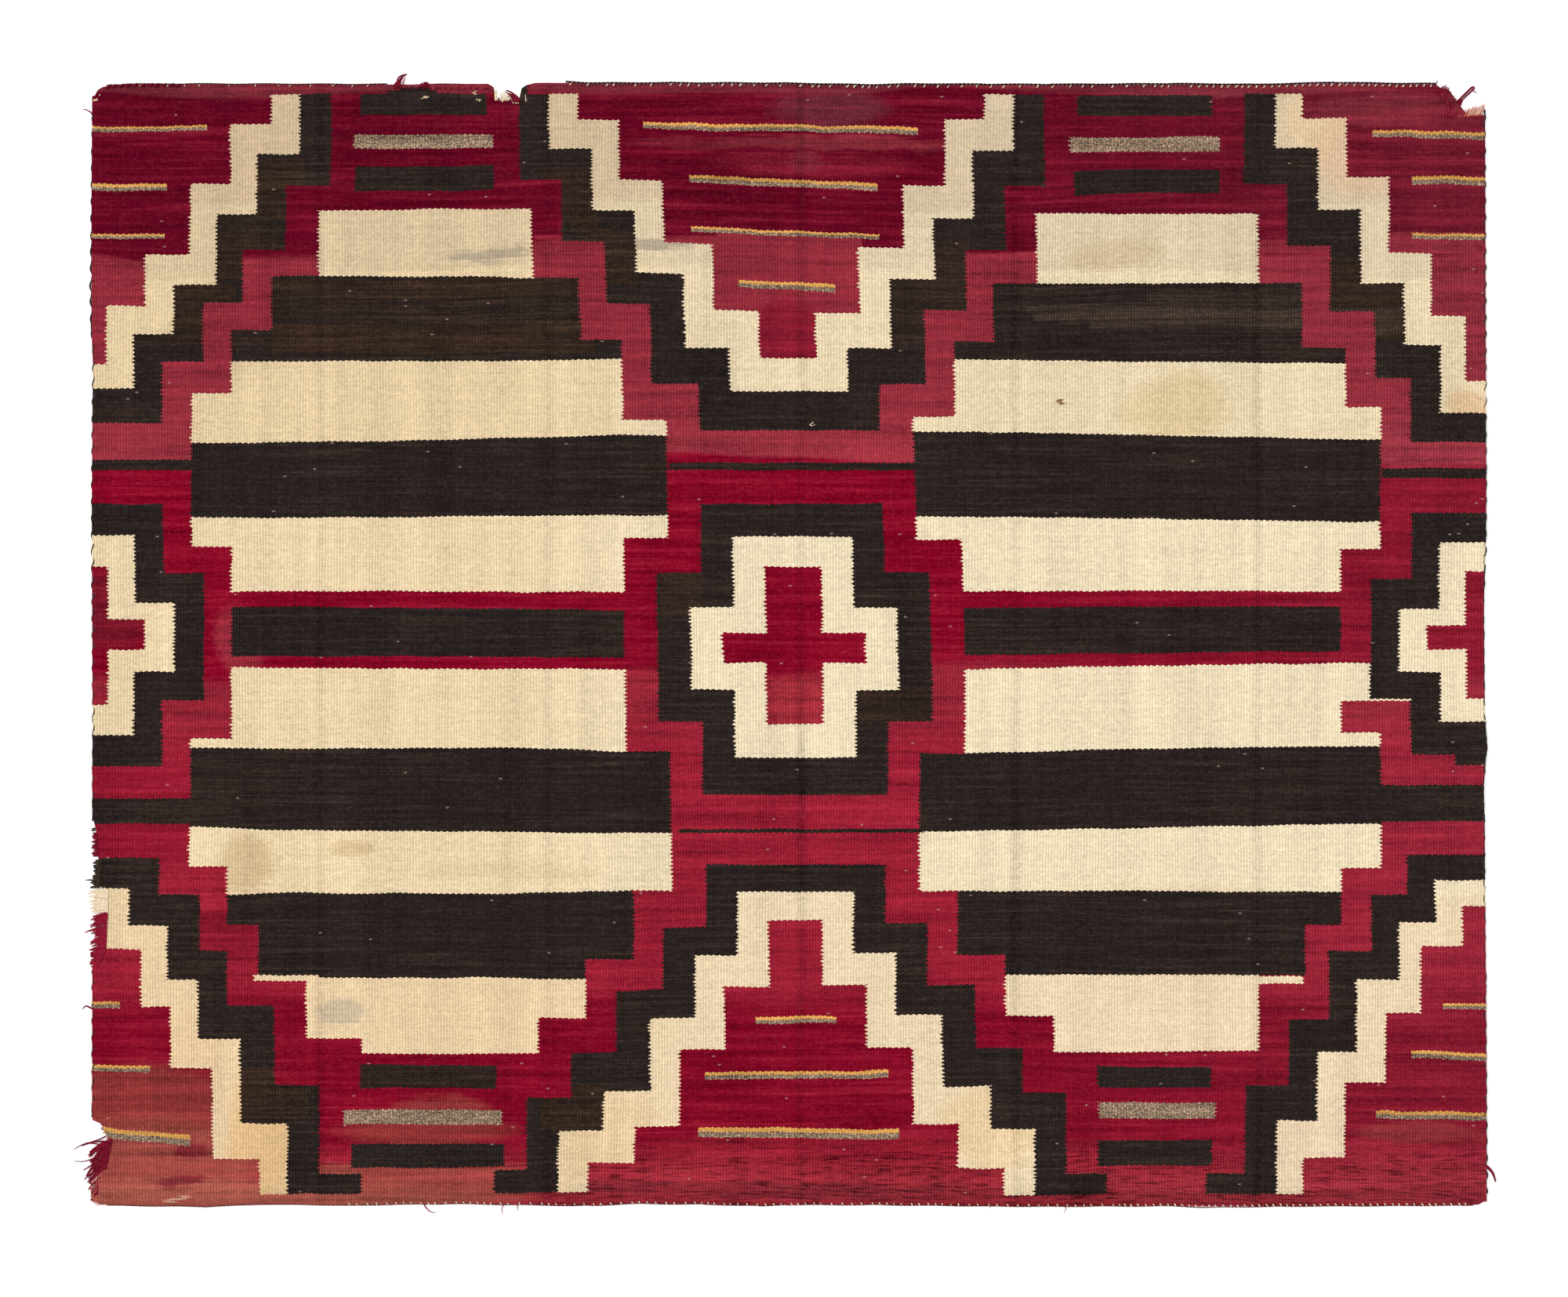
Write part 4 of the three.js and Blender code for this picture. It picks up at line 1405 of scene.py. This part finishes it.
# %% Wool for cords and loose ends
FIBRE_LENGTH = 4 * MM
FIBRE_HEIGHT = 0.3 * MM
YARN_BUMP = 0.6
YARN_ROUGHNESS = 0.95
FIBRE_CONTRAST = 2.2
FIBRE_LEAST = 0.6
YARN_COLOURS = {  # the dark and the pale colour of each wool
    "dark_cord_wool": ((0.014, 0.013, 0.014), (0.075, 0.06, 0.055)),
    "umber_cord_wool": ((0.016, 0.008, 0.009), (0.085, 0.03, 0.033)),
    "rose_cord_wool": ((0.07, 0.02, 0.022), (0.22, 0.055, 0.06)),
    "red_yarn": ((0.14, 0.006, 0.017), (0.34, 0.016, 0.04)),
    "crimson_yarn": ((0.08, 0.004, 0.012), (0.25, 0.012, 0.03)),
    "salmon_yarn": ((0.3, 0.035, 0.04), (0.62, 0.17, 0.12)),
    "cream_yarn": ((0.62, 0.47, 0.3), (0.95, 0.8, 0.6)),
    "black_yarn": ((0.015, 0.011, 0.01), (0.06, 0.04, 0.03)),
    "yellow_yarn": ((0.4, 0.22, 0.06), (0.75, 0.45, 0.12)),
}


def yarn_material(name, dark, pale):
    """Twisted wool: fine fibres between two colours."""
    material, recipe, shader = new_material(name)
    place = recipe.node("ShaderNodeTexCoord", {}, {}, "Object")
    scale = 1 / FIBRE_LENGTH
    place = recipe.vector("MULTIPLY", {0: place, 1: (scale, scale, scale)})
    settings = {"noise_dimensions": "3D"}
    sockets = {"Vector": place, "Scale": 1, "Detail": 3, "Roughness": 0.65}
    fibre = recipe.node("ShaderNodeTexNoise", settings, sockets)
    share = clamped(fibre * FIBRE_CONTRAST - FIBRE_LEAST)
    colour = recipe.blend(share, opaque(dark), opaque(pale))
    dull_wool(recipe, shader, colour, YARN_ROUGHNESS)
    add_bump(recipe, shader, fibre, YARN_BUMP, FIBRE_HEIGHT)
    return material


YARNS = {name: yarn_material(name, *colours) for name, colours in YARN_COLOURS.items()}
print(len(YARNS), "wools for cords and loose yarns")

# %% The cords
CORD_TREE = twisted_cord_tree()
CORD_HEIGHT = 1.9
CORD_STYLES = {  # how far out its middle lies and the tree's inputs, in millimetres
    "twined": (1.3, {"First radius": 0.8, "Second radius": 0.8, "Ply distance": 0.7}),
    "fine": (0.6, {"First radius": 0.45, "Second radius": 0.45, "Ply distance": 0.4}),
    "selvage": (1.6, {"First radius": 1, "Second radius": 0.4, "Twist length": 22}),
}
CORDS = {  # side, from, to, style, wool, slot
    "edge_cord_top_left": ("top", 20, 388, "fine", "umber", "dark_cord"),
    "edge_cord_top": ("top", 622, 1763, "twined", "umber", "dark_cord"),
    "edge_cord_right": ("right", 35, 1456, "selvage", "dark", "dark_cord"),
    "edge_cord_bottom": ("bottom", 20, 1812, "fine", "rose", "rose_cord"),
    "edge_cord_left_upper": ("left", 28, 968, "selvage", "dark", "dark_cord"),
    "edge_cord_left_lower": ("left", 1164, 1356, "selvage", "dark", "dark_cord"),
}


def make_cord(node, side, start, end, style, wool, slot_name):
    out, sizes = CORD_STYLES[style]
    path = edge_path(side, start, end, out, CORD_HEIGHT)
    cord = path_object(node.replace("edge_cord", "twisted_cord"), [path])
    inputs = {name: size * MM for name, size in sizes.items()}
    inputs["Material"] = YARNS[f"{wool}_cord_wool"]
    laid_by_nodes(cord, CORD_TREE, inputs)
    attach(cord, "root")
    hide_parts(node)
    return cord


cords = [make_cord(node, *facts) for node, facts in CORDS.items()]

# %% [markdown]
# ## Loose yarns
# Where a cord has gone, the ends of the wefts and warps stick out. Each is a thin yarn that
# runs down from the cloth to the floor, bends and wavers a little, and gets thinner. A table
# says where the roots and the tips of each group lie and how its yarns bend, and the same
# small tree lays all of them.

# %% The tree that lays a loose yarn
WOOLS = ["red", "crimson", "salmon", "cream", "black", "yellow"]


WAVER_WAYS = (1, 1, 0.2)  # a yarn wavers less up and down than along the floor


def loose_yarn_tree():
    inputs = {
        "Step": ("NodeSocketFloat", 1.6 * MM),
        "Waver": ("NodeSocketFloat", 1.6 * MM),
        "Waver length": ("NodeSocketFloat", 7 * MM),
        "Thin end": ("NodeSocketFloat", 0.45),
    }
    for wool in WOOLS:
        inputs[wool] = ("NodeSocketMaterial", None)
    tree, recipe, given = new_tree("loose_yarn", inputs)
    curve = recipe.node("GeometryNodeMeshToCurve", {}, {"Mesh": given["Geometry"]})
    settings = {"spline_type": "CATMULL_ROM"}
    curve = recipe.node("GeometryNodeCurveSplineType", settings, {"Curve": curve})
    sockets = {"Curve": curve, "Length": given["Step"]}
    curve = recipe.node("GeometryNodeResampleCurve", {"mode": "LENGTH"}, sockets)
    factor = recipe.node("GeometryNodeSplineParameter", {}, {}, "Factor")
    place = recipe.node("GeometryNodeInputPosition", {}, {})
    sockets = {"Vector": place, "Scale": 1 / given["Waver length"], "Detail": 1}
    noise = recipe.node("ShaderNodeTexNoise", {}, sockets, "Color")
    noise = recipe.vector("SUBTRACT", {0: noise, 1: (0.5, 0.5, 0.5)})
    noise = recipe.vector("MULTIPLY", {0: noise, 1: WAVER_WAYS})
    offset = recipe.vector("SCALE", {0: noise, "Scale": factor * given["Waver"]})
    curve = recipe.node("GeometryNodeSetPosition", {}, {"Geometry": curve, "Offset": offset})
    thickness = recipe.node("GeometryNodeInputNamedAttribute", {}, {"Name": "thickness"})
    taper = 1 - factor * factor * (1 - given["Thin end"])
    sockets = {"Resolution": YARN_SIDES, "Radius": 0.5}
    section = recipe.node("GeometryNodeCurvePrimitiveCircle", {}, sockets)
    sockets = {"Curve": curve, "Profile Curve": section, "Fill Caps": True}
    sockets["Scale"] = thickness * taper
    yarn = recipe.node("GeometryNodeCurveToMesh", {}, sockets)
    finish_tree(recipe, yarn, [given[wool] for wool in WOOLS])
    return tree


YARN_TREE = loose_yarn_tree()
print("trees:", [tree.name for tree in bpy.data.node_groups])

# %% Where the yarns lie, in millimetres across and down
# Each row: wool, count, first and last root, first and last tip, bend, thickness
FRAYS = {
    "fray_top_left": [
        ("cream", 4, (3, 24), (9, 23), (-1, 17), (6, 13), 0, 1.5),
        ("cream", 2, (9, 18), (13, 15), (5, 13), (10, 9), 0, 1.1),
        ("crimson", 1, (3, 45), (3, 45), (-12, 34), (-12, 34), 3, 1.6),
    ],
    "fray_top": [
        ("crimson", 5, (397, 7), (408, 7), (403, -5), (409, -7), -3, 2.4),
        ("crimson", 2, (401, 4), (405, 4), (412, -11), (415, -13), -5, 2.2),
        ("red", 1, (408, 3), (408, 3), (411, -8), (411, -8), 0, 1.5),
        ("crimson", 4, (431, 6), (443, 6), (430, -3), (442, -2), 1, 3.2),
        ("crimson", 16, (400, 8), (524, 8), (403, 3), (528, 4), 0, 2.4),
        ("cream", 2, (530, 23), (532, 23), (528, 9), (531, 10), 0, 2.0),
        ("cream", 5, (536, 23), (546, 23), (533, 10), (547, 11), 3, 1.8),
        ("cream", 1, (539, 25), (539, 25), (539, 15), (539, 15), 0, 1.8),
        ("crimson", 5, (563, 24), (553, 26), (544, 10), (543, 13), 2, 2.2),
        ("crimson", 7, (532, 26), (561, 26), (532, 17), (557, 20), 0, 2.0),
        ("cream", 3, (553, 27), (561, 27), (549, 19), (557, 18), 0, 1.6),
        ("black", 4, (565, 23), (569, 23), (564, 7), (569, 6), 0, 2.4),
        ("cream", 1, (570, 24), (570, 24), (573, 7), (573, 7), -2, 1.7),
        ("crimson", 6, (571, 6), (612, 5), (573, 2), (615, 1), 0, 2.0),
    ],
    "fray_top_right": [
        ("black", 1, (1762, 3), (1762, 3), (1766, -3.5), (1766, -3.5), 0, 1.6),
        ("crimson", 11, (1764, 13), (1783, 36), (1774, 1), (1794, 21), 0, 2.2),
        ("salmon", 4, (1769, 16), (1779, 26), (1777, 5), (1790, 17), 0, 0.9),
        ("crimson", 7, (1768, 46), (1788, 48), (1793, 25), (1799, 22), 0, 2.4),
        ("salmon", 17, (1788, 45), (1822, 43), (1796, 35), (1829, 28), 1, 1.5),
        ("cream", 8, (1803, 43), (1823, 41), (1809, 30), (1829, 24), 1, 1.2),
    ],
    "fray_left": [
        ("black", 3, (5, 977), (5, 980), (-2, 978), (-1, 981), 0, 1.5),
        ("crimson", 13, (8, 983), (9, 1014), (0, 984), (1, 1015), 0, 3.0),
        ("black", 17, (13, 1018), (11, 1054), (3, 1019), (-1, 1055), 0, 3.2),
        ("black", 1, (8, 1047), (8, 1047), (-8, 1045), (-8, 1045), 1, 2.2),
        ("cream", 17, (22, 1057), (22, 1086), (-3, 1060), (-1, 1091), 1, 2.8),
        ("red", 25, (22, 1088), (20, 1137), (-1, 1094), (-1, 1142), 1, 3.0),
        ("crimson", 10, (20, 1092), (18, 1136), (4, 1098), (3, 1141), 2, 1.5),
        ("red", 1, (13, 1107), (13, 1107), (-9, 1114), (-9, 1114), 1, 2.2),
        ("red", 14, (20, 1135), (9, 1159), (0, 1141), (-1, 1160), 0, 3.0),
    ],
    "fray_bottom_left": [
        ("crimson", 4, (21, 1363), (22, 1376), (10, 1364), (11, 1373), 0, 2.0),
        ("yellow", 2, (22, 1375), (22, 1378), (12, 1376), (13, 1379), 0, 1.6),
        ("crimson", 1, (19, 1381), (19, 1381), (-8, 1390), (-8, 1390), -2, 1.5),
        ("crimson", 1, (17, 1388), (17, 1388), (-13, 1395), (-13, 1395), 3, 1.6),
        ("crimson", 1, (14, 1393), (14, 1393), (-24, 1399), (-24, 1399), 5, 1.7),
        ("crimson", 1, (14, 1399), (14, 1399), (-23, 1414), (-23, 1414), -5, 1.7),
        ("crimson", 18, (28, 1384), (20, 1424), (-7, 1404), (-3, 1447), 3, 3.2),
        ("red", 8, (27, 1386), (21, 1421), (0, 1404), (3, 1438), 3, 1.5),
        ("crimson", 3, (11, 1413), (7, 1434), (-11, 1424), (-6, 1449), 1, 2.2),
        ("salmon", 2, (14, 1420), (12, 1426), (2, 1440), (3, 1452), 1, 1.2),
        ("crimson", 7, (11, 1434), (9, 1456), (-4, 1448), (-1, 1468), 1, 2.2),
    ],
}
# A few yarns have a course of their own: wool, thickness, points
LOOP_OUT = [(1778, 38), (1789, 27), (1800, 16), (1808, 8), (1812, 5.2)]
LOOP_BACK = [(1813.6, 6.4), (1811.4, 9.2), (1802, 18), (1791.4, 29), (1782, 39)]
COURSES = {
    "fray_top_right": [
        ("crimson", 2.9, LOOP_OUT + LOOP_BACK),
        ("crimson", 1.4, [(1811, 9), (1815, 12), (1818.5, 12.5)]),
        ("cream", 1.1, [(1783, 45), (1788, 43.5), (1795, 41)]),
    ],
    "fray_bottom_left": [
        ("salmon", 1.8, [(3, 1428), (0.5, 1438), (-0.5, 1452), (2, 1466), (9, 1472.5)]),
    ],
}
ROOT_HEIGHT = 2.3
TIP_HEIGHT = 1.0
COURSE_HEIGHT = 1.5
STRAND_SHARES = (0, 0.35, 0.7, 1)  # where a strand's points lie along it
FALL = 1.3  # a strand reaches the floor after 1 / 1.3 of its length
ROOT_SCATTER = (0.2, 0.8)
REACHES = (0.72, 1.12)
TIP_SCATTER = 1.2
BENDS = (0.5, 1.3)
THICKENING = (1.0, 1.4)
random.seed(7)


# %% The paths of the strands
def along_line(first, last, share):
    return [a + (b - a) * share for a, b in zip(first, last)]


def strand_path(root, tip, bend):
    """A strand's points, from its root on the cloth down to its tip on the floor."""
    run = (tip[0] - root[0], tip[1] - root[1])
    length = math.hypot(*run) or 1
    aside = (-run[1] / length * bend, run[0] / length * bend)
    path = []
    for share in STRAND_SHARES:
        bow = math.sin(share * math.pi)
        across = root[0] + run[0] * share + aside[0] * bow
        down = root[1] + run[1] * share + aside[1] * bow
        height = ROOT_HEIGHT + (TIP_HEIGHT - ROOT_HEIGHT) * min(1, share * FALL)
        path.append(in_frame(across, down, height))
    return path


def strands(rows, courses):
    """The paths, thicknesses and wools of the yarns in one frayed place."""
    paths, thicknesses, wools = [], [], []
    for wool, count, root_a, root_b, tip_a, tip_b, bend, thickness in rows:
        for k in range(count):
            share = (k + random.uniform(*ROOT_SCATTER)) / count if count > 1 else 0.5
            root = along_line(root_a, root_b, share)
            tip = along_line(tip_a, tip_b, share)
            reach = random.uniform(*REACHES) if count > 1 else 1
            tip = along_line(root, tip, reach)
            tip[1] += random.uniform(-TIP_SCATTER, TIP_SCATTER) if count > 1 else 0
            paths.append(strand_path(root, tip, bend * random.uniform(*BENDS)))
            thicknesses.append(thickness * random.uniform(*THICKENING) * MM)
            wools.append(wool)
    for wool, thickness, points in courses:
        paths.append([in_frame(across, down, COURSE_HEIGHT) for across, down in points])
        thicknesses.append(thickness * MM)
        wools.append(wool)
    return paths, thicknesses, wools


# %% Laying the frayed ends
def lay_yarns(name, paths, thicknesses, wools, **inputs):
    """One object of loose yarns, each with its path, thickness and wool."""
    numbers = [float(WOOLS.index(wool)) for wool in wools]
    lines = path_object(name, paths, thickness=thicknesses, wool=numbers)
    inputs.update({wool: YARNS[f"{wool}_yarn"] for wool in WOOLS})
    laid_by_nodes(lines, YARN_TREE, inputs)
    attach(lines, "root")
    return lines


for node, rows in FRAYS.items():
    fray = lay_yarns(node.replace("fray", "frayed_ends"), *strands(rows, COURSES.get(node, [])))
    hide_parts(node)

# %% [markdown]
# ## Warp turns and stray threads
# The warp is one long cream yarn that turns round at each end of the rug. Along the top and
# the bottom its turns peep out beside the cord as short slanting stitches. The top left
# corner was sewn over with red yarn, and a few threads have worked loose from the cords.
# All of them are more yarns for the same tree.

# %% Warp turns and overcast stitches
STITCHES = [  # side, from, to, spacing, start inside the edge, length, lean, thickness, wool
    ("top", 60, 386, (14, 40), 2.6, (1.4, 2.2), (0.8, 1.6), (1.1, 1.4), "cream"),
    ("top", 624, 1440, (8, 30), 2.8, (1.8, 3.2), (1.2, 2.8), (1.2, 1.8), "cream"),
    ("top", 1440, 1762, (8, 11), 2.8, (1.8, 3.2), (1.2, 2.8), (1.2, 1.8), "cream"),
    ("bottom", 330, 1350, (8, 15), 2.0, (1.6, 2.4), (0.6, 1.8), (1.2, 1.8), "cream"),
    ("bottom", 1350, 1808, (8, 10.5), 2.2, (1.8, 2.8), (1.2, 2.4), (1.4, 2.0), "cream"),
    ("top", 14, 112, (8, 10), 2.2, (2.4, 3.0), (5, 6.5), (3.0, 3.4), "crimson"),
]


STITCH_ARCH = ((0, 2.4), (0.35, 3.4), (0.7, 3.4), (1, 2.4))  # share of its length, height
STITCH_SCATTER = 0.3


def slanting_stitches(side, start, end, spacing, inside_edge, lengths, leans):
    """Short yarns over the cloth's edge, which lie on its top and lean to the right."""
    paths = []
    along = start + random.uniform(0, spacing[0])
    while along < end:
        length = random.uniform(*lengths)
        lean = random.uniform(*leans)
        scatter = random.uniform(-STITCH_SCATTER, STITCH_SCATTER)
        (x, y), normal = edge_place(side, along, -inside_edge + scatter)
        path = []
        for share, height in STITCH_ARCH:
            across = x + normal[0] * length * share + lean * share
            down = y + normal[1] * length * share
            path.append(in_frame(across, down, height + swell(across, down)))
        paths.append(path)
        along += random.uniform(*spacing)
    return paths


def lay_stitches():
    paths, thicknesses, wools = [], [], []
    for *places, thickness, wool in STITCHES:
        stitches = slanting_stitches(*places)
        paths += stitches
        thicknesses += [random.uniform(*thickness) * MM for _ in stitches]
        wools += [wool] * len(stitches)
    print(len(paths), "stitches")
    shape = {"Waver": 0.0, "Thin end": 0.85}
    return lay_yarns("warp_turns", paths, thicknesses, wools, **shape)


warp_turns = lay_stitches()

# %% Stray threads
STRAYS = [  # wool, thickness, points
    ("crimson", 4.2, [(1822, 1418), (1830, 1421), (1838, 1430), (1842, 1441)]),
    ("red", 1.2, [(149, 1470), (150, 1476)]),
    ("red", 1.2, [(82, 1468), (81, 1474)]),
    ("red", 1.8, [(434, 1466), (438, 1474), (444, 1480), (452, 1482)]),
    ("red", 1.3, [(541, 1470), (538, 1477), (540, 1484)]),
    ("red", 1.4, [(558, 1470), (559, 1479)]),
    ("red", 1.2, [(1181, 1470), (1178, 1476)]),
    ("red", 1.2, [(1276, 1470), (1278, 1477), (1275, 1482)]),
    ("crimson", 2.4, [(4, 1216), (-3, 1212), (-8, 1210.5), (-12, 1215)]),
]
STRAY_HEIGHT = 1.3
stray_paths = [[in_frame(*place, STRAY_HEIGHT) for place in points] for _, _, points in STRAYS]
stray_sizes = [thickness * MM for _, thickness, _ in STRAYS]
stray_wools = [wool for wool, _, _ in STRAYS]
stray_threads = lay_yarns("stray_threads", stray_paths, stray_sizes, stray_wools)

# %% [markdown]

# %% [markdown]
# ## Floor and light
# The picture has no shadows and a white ground, so most light comes evenly from all around.
# A sun lamp adds soft light from the left, low enough to pick out the ribs. Unlike a near
# lamp, it is as bright on one side of the rug as on the other. The floor glows a little,
# like paper on a light table, which keeps it white right beside the rug.

# %% Floor
FLOOR_SIZE = 12
FLOOR_LEVEL = -0.4 * MM
FLOOR_GLOW = 0.3


def make_floor():
    floor_mesh = bpy.data.meshes.new("floor")
    half = FLOOR_SIZE / 2
    corners = [(-half, -half), (half, -half), (half, half), (-half, half)]
    floor_mesh.from_pydata([(x, y, FLOOR_LEVEL) for x, y in corners], [], [(0, 1, 2, 3)])
    floor = bpy.data.objects.new("floor", floor_mesh)
    bpy.context.collection.objects.link(floor)
    material, _, shader = new_material("pale_floor")
    shader.inputs["Base Color"].default_value = (0.93, 0.93, 0.93, 1)
    shader.inputs["Roughness"].default_value = 0.9
    shader.inputs["Emission Color"].default_value = (1, 1, 1, 1)
    shader.inputs["Emission Strength"].default_value = FLOOR_GLOW
    floor_mesh.materials.append(material)


make_floor()

# %% Light
SKY_STRENGTH = 0.80
SUN_STRENGTH = 1.5
SUN_HEIGHT = 38  # degrees above the floor
SUN_SIDE = 155  # degrees round from the right: from the left, a little from the top
SUN_SIZE = 20  # degrees across, for soft shadows


def add_light():
    world = bpy.data.worlds.new("soft_studio")
    bpy.context.scene.world = world
    world.use_nodes = True
    world.node_tree.nodes["Background"].inputs["Color"].default_value = (1, 1, 1, 1)
    world.node_tree.nodes["Background"].inputs["Strength"].default_value = SKY_STRENGTH
    sun = bpy.data.objects.new("Sun", bpy.data.lights.new("Sun", "SUN"))
    sun.data.energy = SUN_STRENGTH
    sun.data.angle = math.radians(SUN_SIZE)
    tilt = math.radians(90 - SUN_HEIGHT)
    sun.rotation_euler = (0, tilt, math.radians(SUN_SIDE))
    bpy.context.collection.objects.link(sun)
    bpy.context.scene.view_settings.view_transform = "Standard"
    bpy.context.scene.view_settings.look = "None"


add_light()
